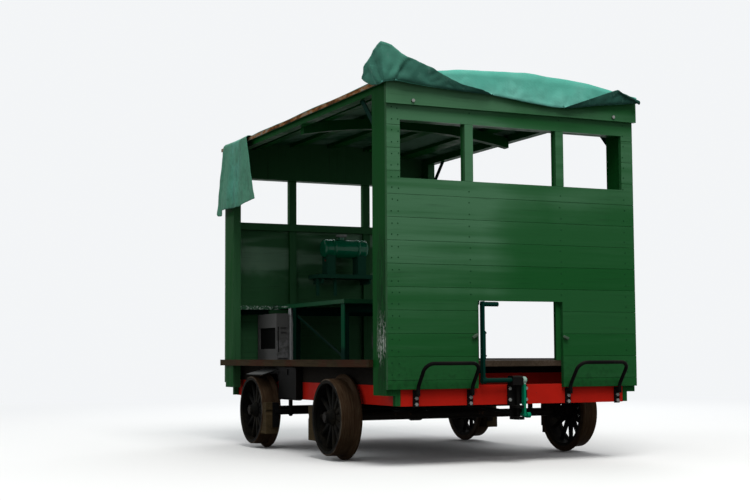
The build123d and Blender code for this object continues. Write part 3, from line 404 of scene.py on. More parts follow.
# the tank's pale cap
tankZones = ({"box": {"z": (1.35, 1.4)}, "soft": 0.001, "colour": (0.15, 0.16, 0.15)},)
steelLooks = {
    "red_steel": {
        "colour": (0.44, 0.013, 0.007), "faded": (0.27, 0.011, 0.0062), "under": (0.05, 0.02, 0.014),
        "dusty": 0.4, "chipFrom": 0.66,
    },
    "black_steel": {
        "colour": (0.0055, 0.0055, 0.0055), "faded": (0.013, 0.012, 0.011), "under": (0.03, 0.018, 0.012),
        "specular": 0.008, "roughness": (0.34, 0.5),
    },
    "axle_steel": {
        "colour": (0.01, 0.009, 0.008), "faded": (0.024, 0.019, 0.015), "under": (0.06, 0.034, 0.02),
        "roughness": (0.4, 0.65), "chipFrom": 0.62,
    },
    "teal_steel": {
        "colour": (0.0015, 0.018, 0.012), "faded": (0.002, 0.028, 0.018), "under": (0.02, 0.035, 0.026),
        "specular": 0.005, "zones": tealZones,
    },
    "grey_steel": {
        "colour": (0.074, 0.074, 0.072), "faded": (0.115, 0.115, 0.112), "under": (0.02, 0.017, 0.015),
        "roughness": (0.4, 0.6), "zones": lockerZones,
    },
    # the guard's pale dust on its upturned faces is partly dust, partly a painted sheen
    "guard_steel": {
        "colour": (0.045, 0.048, 0.048), "faded": (0.09, 0.093, 0.092), "under": (0.03, 0.024, 0.018),
        "roughness": (0.4, 0.6), "dust": (0.16, 0.16, 0.15),
    },
    "engine_metal": {
        "colour": (0.03, 0.032, 0.033), "faded": (0.06, 0.06, 0.058), "under": (0.014, 0.012, 0.01),
        "roughness": (0.4, 0.65), "chipFrom": 0.6,
    },
    "tank_steel": {
        "colour": (0.002, 0.125, 0.058), "faded": (0.004, 0.15, 0.075), "under": (0.01, 0.03, 0.02),
        "coat": 0.2, "specular": 0.12, "roughness": (0.18, 0.3), "chipFrom": 0.76, "dusty": 0.1,
        "zones": tankZones,
    },
    "bolt_steel": {
        "colour": (0.26, 0.27, 0.26), "faded": (0.15, 0.16, 0.15), "under": (0.12, 0.08, 0.05),
        "roughness": (0.35, 0.55), "dusty": 0.1,
    },
    "screw_steel": {
        "colour": (0.005, 0.038, 0.012), "faded": (0.01, 0.056, 0.02), "under": (0.03, 0.03, 0.02),
    },
    "tap_metal": {
        "colour": (0.11, 0.03, 0.022), "faded": (0.2, 0.12, 0.09), "under": (0.05, 0.03, 0.02),
    },
    "peg_steel": {
        "colour": (0.05, 0.085, 0.055), "faded": (0.09, 0.12, 0.09), "under": (0.05, 0.05, 0.04),
    },
}


def paintedSteel(name, look):
    paint = Paint(name, look["specular"], coat=look["coat"])
    places = dict(zip("xyz", paint.axes()))
    orange, patch, chip = paint.noises(look, "orange", "patch", "chip")
    colour = paint.mix(paint.rise(patch, look["fading"]), look["colour"], look["faded"])
    for zone in look["zones"]:
        within = 1.0
        for axis, (low, high) in zone["box"].items():
            within = paint.inside(places[axis], low, high, zone["soft"]) * within
        if "patches" in zone:
            within = within * paint.ramp(patch * 0.4 + chip * 0.6, *zone["patches"])
        colour = paint.mix(within, colour, zone["colour"])
    chips = paint.ramp(chip, look["chipFrom"], look["chipFrom"] + look["chipSoft"])
    colour = paint.mix(chips * look["chipShare"], colour, look["under"])
    dust = paint.ramp(paint.facing()[2], *look["dustFacing"]) * paint.ramp(patch, *look["dustPatches"])
    colour = paint.mix(dust * look["dusty"], colour, look["dust"])
    paint.feed("Base Color", colour)
    low, high = look["roughness"]
    clouded = low + (high - low) * paint.ramp(patch, *look["clouds"])
    paint.feed("Roughness", clouded + 0.3 * chips + 0.15 * dust)
    paint.bump(orange * 0.3 + patch * 0.6 - chips * 0.5, *look["relief"])
    return paint.material


# black spokes and rims; treads rubbed to brown rust, with a bright line at their outer edge, worn and partly
# a painted highlight
wheelLook = {
    "black": (0.0065, 0.0065, 0.006), "dust": (0.02, 0.017, 0.012), "rust": (0.028, 0.015, 0.008),
    "rub": (0.047, 0.031, 0.018), "edge": (0.09, 0.078, 0.062), "specular": 0.01,
    "relief": (0.0012, 0.6), "rough": (0.012, 6, (1, 1, 1), 0.65), "patch": (0.09, 4),
    "rings": (0.003, 2, (0.04, 1, 0.04), 0.5), "dusty": (0.44, 0.66, 0.7), "rubbed": (0.38, 0.66),
    "tread": (trolley["treadRadius"] - 0.01, trolley["treadRadius"] - 0.003),
    "line": (trolley["treadRadius"] - 0.005, trolley["treadRadius"] - 0.002), "outerFace": (0.7, 0.72),
    "bright": (0.4, 0.6, 0.8),
}


def wheelIron(name, look):
    paint = Paint(name, look["specular"])
    x, y, z = paint.axes()
    ahead = x.size() - trolley["axleX"]
    above = z - trolley["axleZ"]
    radius = (ahead * ahead + above * above) ** 0.5
    rough, patch, rings = paint.noises(look, "rough", "patch", "rings")
    colour = paint.mix(paint.rise(patch * 0.6 + rough * 0.4, look["dusty"]), look["black"], look["dust"])
    tread = paint.ramp(radius, *look["tread"])
    rust = paint.mix(paint.ramp(rings * 0.7 + patch * 0.3, *look["rubbed"]), look["rust"], look["rub"])
    colour = paint.mix(tread, colour, rust)
    # a bright line round the outer edge of the tread, partly wear, partly a painted highlight
    line = paint.inside(radius, *look["line"]) * paint.ramp(y.size(), *look["outerFace"])
    colour = paint.mix(line * paint.rise(patch, look["bright"]), colour, look["edge"])
    paint.feed("Base Color", colour)
    paint.feed("Roughness", 0.5 + 0.2 * rough - 0.06 * tread)
    paint.bump(rough + 0.6 * patch + rings * tread, *look["relief"])
    return paint.material


# roof boards: dull on top, broken orange, grey and brown along the edges, pale grey-green panels underneath
roofLook = {
    "top": (0.05, 0.05, 0.052),
    "edge": (
        (0.0, (0.03, 0.02, 0.011)), (0.3, (0.075, 0.036, 0.015)), (0.55, (0.2, 0.075, 0.022)),
        (0.72, (0.27, 0.15, 0.07)), (1.0, (0.23, 0.22, 0.19)),
    ),
    "inside": (0.01, 0.05, 0.022), "panel": (0.085, 0.16, 0.115), "specular": 0.01, "roughness": 0.7,
    "relief": (0.003, 0.6), "fibre": (0.016, 5, (0.3, 1, 1), 0.65), "patch": (0.11, 4, (0.5, 1, 1), 0.6),
    "damp": (0.35, 4, (1, 1, 1), 0.6), "edgeTones": (0.34, 0.66), "panelTones": (0.38, 0.55),
}


def roofBoards(name, look):
    paint = Paint(name, look["specular"], look["roughness"])
    fibre, patch, damp = paint.noises(look, "fibre", "patch", "damp")
    up = paint.facing()[2]
    tone = paint.ramp(patch * 0.5 + fibre * 0.5, *look["edgeTones"])
    edge = paint.node("ValToRGB", {"stops": look["edge"]}, {"Fac": tone}, "Color")
    inside = paint.mix(paint.ramp(damp, *look["panelTones"]), look["inside"], look["panel"])
    colour = paint.mix(up > 0.5, edge, look["top"])
    colour = paint.mix(up < -0.5, colour, inside)
    paint.feed("Base Color", colour)
    paint.bump(fibre, *look["relief"])
    return paint.material


# coated woven tarpaulin: sea green where it lies, darker on its creased underside, with painted shade on its
# turned-up back
sheetLook = {
    "top": (0.088, 0.365, 0.285), "faded": (0.155, 0.45, 0.37), "under": (0.058, 0.205, 0.15),
    "backShade": (0.014, 0.052, 0.04), "rub": (0.1, 0.22, 0.18), "dirt": (0.035, 0.08, 0.055),
    "hung": (0.075, 0.235, 0.15), "specular": 0.03, "relief": (0.004, 0.5), "weave": 0.0025,
    "cloud": (0.22, 5), "crease": (0.05, 5, (1, 1, 1), 0.7), "stain": (0.1, 5, (1, 1, 0.5), 0.65),
    "fall": (0.3, 3, (1, 0.25, 1)), "fine": (0.018, 4, (1, 1, 0.7), 0.7), "fading": (0.38, 0.62),
    "backFrom": (0.35, 0.65), "cornerEdge": (-0.64, -0.605, 0.56), "cornerShade": (-0.56, -0.3, 0.34),
    "farY": (0.6, 0.63), "farZ": (1.915, 1.93), "farShare": 0.6, "creases": (0.56, 0.74, 0.45),
    "hungFrom": (0.745, 0.76), "hungShare": 0.95, "middleX": (-1.34, -1.2, 0.09), "middleShare": 0.75,
    "middles": (0.35, 0.6), "fineDirt": (0.46, 0.66, 0.35), "stains": (0.48, 0.72),
    "stainShare": (0.14, 0.4),
}


def tarpCloth(name, look):
    paint = Paint(name, look["specular"])
    x, y, z = paint.axes()
    cloud, crease, stain, fall, fine = paint.noises(look, "cloud", "crease", "stain", "fall", "fine")
    colour = paint.mix(paint.ramp(cloud * 0.5 + fall * 0.5, *look["fading"]), look["top"], look["faded"])

    # the turned-up back: painted shade, deepest away from the corner, and the front's colour along the far
    # top edge
    edge = paint.rise(y + (2.05 - z) * 0.75, look["cornerEdge"])
    shade = paint.rise(y + (cloud - 0.5) * 0.2, look["cornerShade"])
    back = paint.mix(edge + shade, look["under"], look["backShade"])
    far = paint.ramp(y, *look["farY"]) * paint.ramp(z - 0.3 * (0.75 - y), *look["farZ"])
    back = paint.mix(far * look["farShare"], back, look["top"])
    back = paint.mix(paint.rise(crease, look["creases"]), back, look["rub"])
    underside = paint.node("Attribute", {"attribute_name": "underside"}, {}, "Fac")
    colour = paint.mix(paint.ramp(underside, *look["backFrom"]), colour, back)

    # painted shade on the hanging flap, with a paler painted highlight down its middle
    hung = paint.ramp(y * -1, *look["hungFrom"]) * (x < 0)
    middle = paint.inside(x - z * 0.2, *look["middleX"])
    paler = look["middleShare"] * middle * paint.ramp(cloud, *look["middles"])
    colour = paint.mix(hung * (look["hungShare"] - paler), colour, look["hung"])
    colour = paint.mix(paint.rise(fine, look["fineDirt"]) * hung, colour, look["dirt"])
    lying, hanging = look["stainShare"]
    colour = paint.mix(paint.ramp(stain, *look["stains"]) * (lying + hanging * hung), colour, look["dirt"])
    paint.feed("Base Color", colour)
    paint.feed("Roughness", 0.5 + 0.2 * cloud)
    weave = ((x + y * 0.2) / look["weave"]).sine() + ((z + y * 0.7) / look["weave"]).sine()
    paint.bump(crease * 1.3 + cloud * 1.2 + weave * 0.03, *look["relief"])
    return paint.material


materials = {}


def makeMaterials():
    for name, look in steelLooks.items():
        materials[name] = paintedSteel(name, {**steelFinish, **look})
    materials["green_boards"] = paintedBoards("green_boards", boardLook)
    materials["green_timber"] = paintedTimber("green_timber", timberLook)
    materials["bench_wood"] = paintedBoards("bench_wood", benchLook, False)
    for name, look in woodLooks.items():
        materials[name] = weatheredWood(name, {**woodFinish, **look})
    materials["wheel_iron"] = wheelIron("wheel_iron", wheelLook)
    materials["roof_board"] = roofBoards("roof_board", roofLook)
    materials["sheet_cloth"] = tarpCloth("sheet_cloth", sheetLook)
    print("materials made", len(materials))


def dressNodes():
    slots = {row["node"]: row["material_slot"] for row in frame["record"]["subparts"]}
    for node, piece in frame["nodes"].items():
        for place in piece.material_slots:
            place.material = materials[slots[node]]
    print("nodes dressed")


def addPiece(name, mesh, material, body, smooth=True):
    data = bpy.data.meshes.new(name)
    mesh.to_mesh(data)
    mesh.free()
    data.materials.append(materials[material])
    for face in data.polygons:
        face.use_smooth = smooth
    piece = bpy.data.objects.new(name, data)
    bpy.context.collection.objects.link(piece)
    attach(piece, body)
    return piece


def along(span, share):
    # straight-line reading between two values
    start, end = span
    return start + (end - start) * share


def between(table, place):
    # straight-line reading of a short table of (place, value) pairs
    if place <= table[0][0]:
        return table[0][1]
    for (a, first), (b, second) in zip(table, table[1:]):
        if place <= b:
            return first + (second - first) * (place - a) / (b - a)
    return table[-1][1]


# the tarpaulin where it lies on the roof, with ripples as (size, depth)
sheet = {
    "rear": -1.275, "front": 1.262, "half": 0.742, "lift": 0.004, "columns": 200, "rows": 150,
    "thickness": 0.0022, "ripples": ((0.16, 0.004), (0.3, 0.005)), "lowest": -0.002,
}


def wrinkle(place, size, depth, seed=0.0):
    return depth * noise.noise(Vector(place) / size + Vector((seed, seed, seed)))


def topPoint(x, y):
    across, lengthwise = sheet["ripples"]
    ripple = wrinkle((x * 0.6, y, 0), *across) + wrinkle((x, y * 3, 4), *lengthwise, 3)
    return Vector((x, y, roofHeight(y) + sheet["lift"] + max(sheet["lowest"], ripple)))


# the hem: heights by y in front and by x at the side, creases as (run at the top, at the fold, width, depth)
hem = {
    "rows": 30, "cornerColumns": 20, "cornerRun": 0.05,
    "frontFold": (
        (-0.742, 1.910), (-0.717, 1.912), (-0.69, 1.911), (-0.63, 1.904), (-0.561, 1.899), (-0.448, 1.893),
        (-0.334, 1.889), (-0.217, 1.887), (-0.099, 1.880), (0.021, 1.867), (0.172, 1.852), (0.284, 1.847),
        (0.422, 1.866), (0.518, 1.879), (0.647, 1.894), (0.742, 1.908),
    ),
    "frontFree": (
        (-0.742, 2.084), (-0.72, 2.068), (-0.687, 2.048), (-0.654, 2.034), (-0.626, 2.026), (-0.571, 2.008),
        (-0.515, 1.990), (-0.458, 1.964), (-0.401, 1.940), (-0.344, 1.921), (-0.257, 1.906), (-0.19, 1.893),
        (-0.10, 1.868), (0.021, 1.850), (0.172, 1.835), (0.262, 1.843), (0.346, 1.873), (0.441, 1.907),
        (0.505, 1.931), (0.583, 1.959), (0.622, 1.971), (0.648, 1.962), (0.699, 1.943), (0.742, 1.919),
    ),
    "peak": 2.096, "sideFold": ((1.085, 1.948), (1.122, 1.928), (1.165, 1.908), (1.262, 1.896)),
    "sideFree": (
        (1.085, 1.950), (1.12, 1.962), (1.135, 1.990), (1.15, 2.009), (1.172, 2.018), (1.235, 2.043),
        (1.262, 2.062),
    ),
    "creases": (
        (0.108, 0.026, 0.016, -0.022), (0.160, 0.085, 0.040, 0.009), (0.060, 0.022, 0.026, 0.012),
        (-0.062, -0.034, 0.018, -0.014), (-0.105, -0.052, 0.022, 0.012), (-0.150, -0.100, 0.016, -0.012),
    ),
    "pinch": 0.4, "foldAt": 0.5, "bulge": 0.024, "bulgeRate": 3.2, "slack": 0.003, "flat": 0.08,
    "foldOut": 0.027, "foldRise": 0.012, "turnRate": 6, "turnedOut": 0.010, "turnedSlack": 0.010,
    "plainOut": 0.008, "droop": 0.004, "sway": 0.012, "swaySizes": (0.06, 0.2), "rollRun": 1.34,
    "rollRate": 25, "rollFrom": 0.72, "rollTurn": 1.1, "rollOut": 0.010, "rollDrop": 0.012,
    "leanFrom": 1.96, "lean": 0.06, "backFrom": 0.52,
}


def hemStations():
    # from the left along the front, round the corner and back: (inner, out, fold, free, run, pinch)
    half, front, rear = sheet["half"], sheet["front"], sheet["rear"]
    stations = []
    for number in range(sheet["columns"], -1, -1):
        y = -half + 2 * half * number / sheet["columns"]
        fold, free = between(hem["frontFold"], y), between(hem["frontFree"], y)
        stations.append((topPoint(front, y), Vector((1, 0, 0)), fold, free, y + half, 1.0))
    corner = topPoint(front, -half)
    foldEnds = hem["frontFold"][0][1], hem["sideFold"][-1][1]
    freeEnds = hem["frontFree"][0][1], hem["sideFree"][-1][1]
    for number in range(1, hem["cornerColumns"]):
        share = number / hem["cornerColumns"]
        angle = math.pi / 2 * share
        ridge = 1 - abs(share - 0.5) * 2
        free = along(freeEnds, share) + (hem["peak"] - sum(freeEnds) / 2) * ridge ** 1.2
        out = Vector((math.cos(angle), -math.sin(angle), 0))
        pinch = 1.0 + hem["pinch"] * share + hem["pinch"] * ridge ** 1.5
        stations.append((corner, out, along(foldEnds, share), free, -hem["cornerRun"] * share, pinch))
    for number in range(sheet["rows"], -1, -1):
        x = rear + (front - rear) * number / sheet["rows"]
        if x > hem["sideFree"][0][0]:
            fold, free = between(hem["sideFold"], x), between(hem["sideFree"], x)
            run = -hem["cornerRun"] + x - front
            stations.append((topPoint(x, -half), Vector((0, -1, 0)), fold, free, run, 1.0 + hem["pinch"]))
    return stations


def hemPoint(station, share):
    # down from the roof's edge to the fold, then up to the free edge; also 1 where the cloth's back shows
    inner, out, fold, free, run, pinch = station
    turned = free > fold
    if share < hem["foldAt"]:
        t = share / hem["foldAt"]
        distance = hem["bulge"] * min(1, t * hem["bulgeRate"]) ** 0.6 + hem["slack"] * t
        height = inner.z + (fold - inner.z) * max(0, (t - hem["flat"]) / (1 - hem["flat"])) ** 1.15
    else:
        t = (share - hem["foldAt"]) / (1 - hem["foldAt"])
        raised = max(-1, min(1, (free - fold) / hem["foldRise"]))
        opened = min(1, t * hem["turnRate"])
        spread = hem["turnedOut"] * opened + hem["turnedSlack"] * t if turned else hem["plainOut"] * opened
        distance = hem["foldOut"] + spread * raised
        height = fold - hem["droop"] * abs(raised) * math.sin(math.pi * opened) + abs(free - fold) * t
    place = inner + out * (distance * pinch)
    place.z = height
    loose = hem["sway"] * min(1, share * 1.5)
    fine, broad = hem["swaySizes"]
    sway = abs(wrinkle(place, fine, loose) + wrinkle(place, broad, loose, 5))
    if turned and share > hem["foldAt"]:
        for atTop, atFoot, width, depth in hem["creases"]:
            middle = along((atFoot, atTop), t)
            near = max(0, 1 - abs(run - middle) / width)
            sway += depth * near * math.sin(math.pi * min(1, 0.15 + t * 0.85)) ** 0.5
        if run > hem["rollRun"] and t > hem["rollFrom"]:
            rolled = min(1, (run - hem["rollRun"]) * hem["rollRate"])
            roll = (t - hem["rollFrom"]) / (1 - hem["rollFrom"]) * math.pi * hem["rollTurn"] * rolled
            sway += hem["rollOut"] * math.sin(roll)
            height -= hem["rollDrop"] * (1 - math.cos(roll))
    lean = max(0, height - hem["leanFrom"]) * hem["lean"]
    place = place + out * (sway + lean)
    place.z = height
    return place, 1.0 if turned and share > hem["backFrom"] else 0.0


# the flap over the right side near the rear: pleats are (middle, width, depth) by the share across
flap = {
    "rows": 60, "columns": 80, "topX": (-1.135, -0.714), "footX": (-1.306, -0.548),
    "footZ": (
        (0.0, 1.496), (0.03, 1.480), (0.09, 1.476), (0.155, 1.480), (0.175, 1.508), (0.30, 1.506),
        (0.62, 1.501), (0.80, 1.511), (1.0, 1.521),
    ),
    "out": 0.042, "outBy": 0.06, "flat": 0.03, "farthest": -0.803,
    "pleats": (
        (0.32, 0.10, 0.013), (0.55, 0.035, 0.007), (0.10, 0.05, -0.009), (0.44, 0.05, -0.006),
        (0.78, 0.09, 0.008),
    ),
    "ripples": ((0.11, 0.007), (0.04, 0.003)), "curlWidth": 0.15, "curl": 0.008, "backFrom": 0.93,
    "backRate": 14,
}


def flapPoint(down, across):
    # by the shares of the way down and toward the front; also how far the cloth's back shows
    topX = along(flap["topX"], across)
    top = topPoint(topX, -sheet["half"])
    if down == 0:
        return top, 0.0
    back = 0.0
    x = topX + (along(flap["footX"], across) - topX) * down ** 1.05
    foot = between(flap["footZ"], across)
    z = top.z + (foot - top.z) * max(0, (down - flap["flat"]) / (1 - flap["flat"]))
    y = -sheet["half"] - flap["out"] * min(1, down / flap["outBy"]) ** 0.6
    for middle, width, depth in flap["pleats"]:
        y -= depth * math.exp(-((across - middle) / width) ** 2) * down ** 0.7
    (broad, broadDepth), (fine, fineDepth) = flap["ripples"]
    y += wrinkle((x, 0, z), broad, broadDepth * down) + wrinkle((x, 3, z * 0.5), fine, fineDepth * down)
    if across < flap["curlWidth"]:
        y += flap["curl"] * (1 - across / flap["curlWidth"]) * down ** 2
        back = max(0, (down - flap["backFrom"]) * flap["backRate"])
    return Vector((x, max(y, flap["farthest"]), z)), back


def unitGrid(mesh, rows, columns):
    # a new grid's verts, each with its number along the rows and along the columns
    verts = bmesh.ops.create_grid(mesh, x_segments=rows, y_segments=columns, size=0.5)["verts"]
    return [(vert, round((vert.co.x + 0.5) * rows), round((vert.co.y + 0.5) * columns)) for vert in verts]


def makeTarpaulin():
    mesh = bmesh.new()
    underside = mesh.verts.layers.float.new("underside")
    half, front, rear = sheet["half"], sheet["front"], sheet["rear"]
    rows, columns = sheet["rows"], sheet["columns"]
    for vert, row, column in unitGrid(mesh, rows, columns):
        vert.co = topPoint(rear + (front - rear) * row / rows, -half + 2 * half * column / columns)

    stations = hemStations()
    for vert, row, column in unitGrid(mesh, hem["rows"], len(stations) - 1):
        if row == 0:
            vert.co = stations[column][0]
        else:
            vert.co, vert[underside] = hemPoint(stations[column], row / hem["rows"])

    for vert, row, column in unitGrid(mesh, flap["rows"], flap["columns"]):
        vert.co, vert[underside] = flapPoint(row / flap["rows"], column / flap["columns"])
    bmesh.ops.remove_doubles(mesh, verts=mesh.verts[:], dist=0.0004)
    bmesh.ops.recalc_face_normals(mesh, faces=mesh.faces[:])
    area = sum(face.calc_area() for face in mesh.faces)
    print("tarpaulin area", round(area, 3))
    piece = addPiece("tarpaulinSheet", mesh, "sheet_cloth", "frame")
    solid = piece.modifiers.new("thickness", "SOLIDIFY")
    solid.thickness = sheet["thickness"]
    solid.offset = 0
    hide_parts("tarpaulin")


def addBox(mesh, low, high):
    # a block between two corners, from a grid that is pulled up into a solid
    size = [b - a for a, b in zip(low, high)]
    middle = [(a + b) / 2 for a, b in zip(low, high)]
    base = bmesh.ops.create_grid(mesh, x_segments=1, y_segments=1, size=0.5)["verts"]
    raised = bmesh.ops.extrude_face_region(mesh, geom=base[0].link_faces[:])["geom"]
    top = [item for item in raised if isinstance(item, bmesh.types.BMVert)]
    for vert in base:
        vert.co.z = -0.5
    for vert in top:
        vert.co.z = 0.5
    for vert in base + top:
        vert.co = Vector([middle[n] + vert.co[n] * size[n] for n in range(3)])
    return base + top


def addDisc(mesh, place, axis, radius, depth, sides, taper=0.0):
    # a short bar about X, Y or Z, narrower at its far end by a share of its radius
    turns = {"x": (math.pi / 2, "Y"), "y": (-math.pi / 2, "X"), "z": (0, "Z")}
    angle, about = turns[axis]
    where = Matrix.Translation(place) @ Matrix.Rotation(angle, 4, about)
    rim = radius * (1 - taper)
    made = bmesh.ops.create_cone(
        mesh, cap_ends=True, segments=sides, radius1=radius, radius2=rim, depth=depth, matrix=where,
    )
    return made["verts"]


def edgesOf(verts):
    # each edge once, in the order of the verts
    return list(dict.fromkeys(edge for vert in verts for edge in vert.link_edges))


def roundEdges(mesh, verts, offset, segments=2):
    bmesh.ops.bevel(
        mesh, geom=edgesOf(verts), offset=offset, segments=segments, profile=0.5, affect="EDGES",
        material=-1,
    )


# screws in the end boards beside each post, two to a board
screws = {
    "radius": 0.0034, "proud": 0.0010, "sides": 10, "rise": 0.028,
    "places": (-0.712, -0.676, -0.272, 0.272, 0.676), "strayY": 0.004, "strayZ": 0.003, "windowSide": 0.5,
    "windowEdge": 0.01, "hatchSide": 0.28, "hatchTop": 0.84, "top": 1.80,
}


def makeScrews():
    look = screws
    lowest, highest = trolley["windowSill"] - look["windowEdge"], trolley["windowHead"] + look["windowEdge"]
    for end in (1, -1):
        mesh = bmesh.new()
        face = end * (trolley["wallFace"] + look["proud"] / 2)
        for row in range(trolley["boardRows"]):
            middle = trolley["boardJoint"] + (row + 0.5) * trolley["boardPitch"]
            for post in look["places"]:
                for side in (-1, 1):
                    z = middle + side * look["rise"] + random.uniform(-look["strayZ"], look["strayZ"])
                    y = post + random.uniform(-look["strayY"], look["strayY"])
                    inWindow = abs(post) < look["windowSide"] and lowest < z < highest
                    inHatch = end > 0 and abs(post) < look["hatchSide"] and z < look["hatchTop"]
                    if inWindow or inHatch or z > look["top"]:
                        continue
                    addDisc(mesh, (face, y, z), "x", look["radius"], look["proud"], look["sides"])
        name = "frontScrews" if end > 0 else "rearScrews"
        addPiece(name, mesh, "screw_steel", "frame", False)


# hexagon heads over the bolts: (piece, slot, face x at the front and at the rear, each y, each z)
bolts = {
    "radius": 0.0098, "proud": 0.0085, "bevel": 0.0012,
    "sets": (
        ("fasciaBolts", "green_boards", (1.268, -1.268), (-0.601, 0.601), (1.824,)),
        ("loopBolts", "black_steel", (1.234, -1.234), (-0.578, -0.272, 0.311, 0.618), (0.311, 0.341)),
        ("drawbarBoltsFront", "black_steel", (1.236,), (-0.045, 0.051), (0.325, 0.382)),
        ("drawbarBoltsRear", "black_steel", (-1.236,), (-0.045, 0.051), (0.325, 0.367)),
    ),
}


def makeBolts():
    for name, slot, faces, across, levels in bolts["sets"]:
        mesh = bmesh.new()
        for face in faces:
            middle = face + math.copysign(bolts["proud"] / 2, face)
            for y in across:
                for z in levels:
                    head = addDisc(mesh, (middle, y, z), "x", bolts["radius"], bolts["proud"], 6)
                    roundEdges(mesh, head, bolts["bevel"])
        addPiece(name, mesh, "bolt_steel", "frame", False)


# turn buttons on both sides of the hatch: (y, z, lean)
pegs = {
    "places": ((-0.247, 0.652, 0.5), (0.293, 0.640, -0.4)), "radius": 0.008, "sides": 16, "proud": 0.008,
    "long": (-0.024, 0.012), "width": 0.015, "bevel": 0.003,
}


def makePegs():
    mesh = bmesh.new()
    face, proud, side = trolley["wallFace"], pegs["proud"], pegs["width"] / 2
    low, high = pegs["long"]
    for y, z, lean in pegs["places"]:
        addDisc(mesh, (face + proud / 2, y, z), "x", pegs["radius"], proud, pegs["sides"])
        button = addBox(mesh, (face + proud, low, -side), (face + 2 * proud, high, side))
        turn = Matrix.Translation((0, y, z)) @ Matrix.Rotation(lean, 4, "X")
        bmesh.ops.transform(mesh, matrix=turn, verts=button)
        roundEdges(mesh, button, pegs["bevel"], 3)
    addPiece("hatchButtons", mesh, "peg_steel", "frame")


# strips inside the joints, so that no light comes through between the boards
fillers = {
    "half": 0.0015, "backGap": 0.004, "frontGap": 0.005, "end": 0.002, "windowGap": 0.001,
    "deckEnd": 0.004, "deckRise": (0.006, 0.024), "cornerSide": 0.62, "cornerReach": 1.06,
}


def makeFillers():
    look = fillers
    mesh = bmesh.new()
    half = trolley["wallHalf"] - look["end"]
    for end in (1, -1):
        back, front = trolley["headFace"] + look["backGap"], trolley["wallFace"] - look["frontGap"]
        x0, x1 = sorted((end * back, end * front))
        for row in range(trolley["boardRows"] + 1):
            z = trolley["boardJoint"] + row * trolley["boardPitch"]
            spans = [(-half, half)]
            if trolley["windowSill"] < z < trolley["windowHead"]:
                inner = trolley["windowHalf"] + look["windowGap"]
                spans = [(-half, -inner), (inner, half)]
            if end > 0 and z < trolley["hatchHead"]:
                right, left = trolley["hatchSides"]
                spans = [(-half, right), (left, half)]
            for y0, y1 in spans:
                addBox(mesh, (x0, y0, z - look["half"]), (x1, y1, z + look["half"]))
    addPiece("wallJoints", mesh, "screw_steel", "frame", False)

    mesh = bmesh.new()
    low, high = (trolley["deckBottom"] + rise for rise in look["deckRise"])
    for number in range(1, trolley["deckBoards"]):
        y = -trolley["deckHalf"] + number * 2 * trolley["deckHalf"] / trolley["deckBoards"]
        # the outer strips stop short of the corner posts
        reach = trolley["headFace"] - look["deckEnd"] if abs(y) < look["cornerSide"] else look["cornerReach"]
        addBox(mesh, (-reach, y - look["half"], low), (reach, y + look["half"], high))
    addPiece("deckJoints", mesh, "dark_timber", "frame", False)


# tank trim: two straps, the tap under the right end, and the batten at the back of the shelf
tankTrim = {
    "x": -1.096, "z": 1.273, "radius": 0.0638, "straps": (-0.030, 0.142), "strapWidth": 0.022,
    "strapThickness": 0.002,
    "strapOutline": (
        (-0.5, 0.0), (-0.35, 1.0), (0.35, 1.0), (0.5, 0.0), (0.35, -0.2), (0.0, -0.2), (-0.35, -0.2),
        (-0.45, -0.1),
    ),
    "tap": (-1.080, -0.072, 1.196), "tapRadius": 0.008, "tapLength": 0.030,
    "handle": ((0.004, -0.004, -0.030), (0.010, 0.004, 0.0)), "handleBevel": 0.0015,
    "batten": ((-1.176, -0.120, 1.086), (-1.160, 0.220, 1.106)), "battenBevel": 0.002,
}


def makeTankTrim():
    look = tankTrim
    mesh = bmesh.new()
    for y in look["straps"]:
        ring = bmesh.ops.create_circle(mesh, segments=len(look["strapOutline"]), radius=0.5)["verts"]
        for vert, (u, v) in zip(ring, look["strapOutline"]):
            height = look["z"] + look["radius"] + v * look["strapThickness"]
            vert.co = Vector((look["x"], y + u * look["strapWidth"], height))
        bmesh.ops.spin(
            mesh, geom=ring + edgesOf(ring), cent=(look["x"], y, look["z"]), axis=(0, 1, 0),
            angle=2 * math.pi, steps=48, use_merge=True, use_duplicate=False,
        )
    bmesh.ops.remove_doubles(mesh, verts=mesh.verts[:], dist=0.0001)
    bmesh.ops.recalc_face_normals(mesh, faces=mesh.faces[:])
    addPiece("tankStraps", mesh, "tank_steel", "frame")

    mesh = bmesh.new()
    x, y, z = look["tap"]
    radius, length = look["tapRadius"], look["tapLength"]
    addDisc(mesh, (x, y, z + 0.006), "z", radius * 0.7, length, 16)
    addDisc(mesh, (x, y, z - 0.004), "y", radius, length * 1.3, 16, 0.3)
    low, high = ([a + b for a, b in zip(look["tap"], corner)] for corner in look["handle"])
    handle = addBox(mesh, low, high)
    roundEdges(mesh, handle, look["handleBevel"])
    addPiece("fuelTap", mesh, "tap_metal", "frame", False)

    mesh = bmesh.new()
    batten = addBox(mesh, *look["batten"])
    roundEdges(mesh, batten, look["battenBevel"])
    addPiece("shelfBatten", mesh, "kerb_wood", "frame", False)


# stage
floorLook = {
    "colour": (0.80, 0.80, 0.79), "bounce": (0.17, 0.165, 0.155), "size": 60, "edge": (3.0, 10.0),
    "roughness": 0.9,
}
lightLook = {
    "sky": (0.90, 0.915, 0.93), "ambient": (0.94, 0.97, 1.0), "world": 0.58, "aim": (0, 0, 1.0),
    "lamps": (
        ("key", (6.4, -1.2, 10.2), 6.0, 1020, (1.0, 0.99, 0.97)),
        ("fill", (-5.0, -9.0, 6.0), 6.0, 190, (0.96, 0.98, 1.0)),
        ("back", (-8.0, 5.0, 6.0), 6.0, 420, (0.97, 0.98, 1.0)),
    ),
}


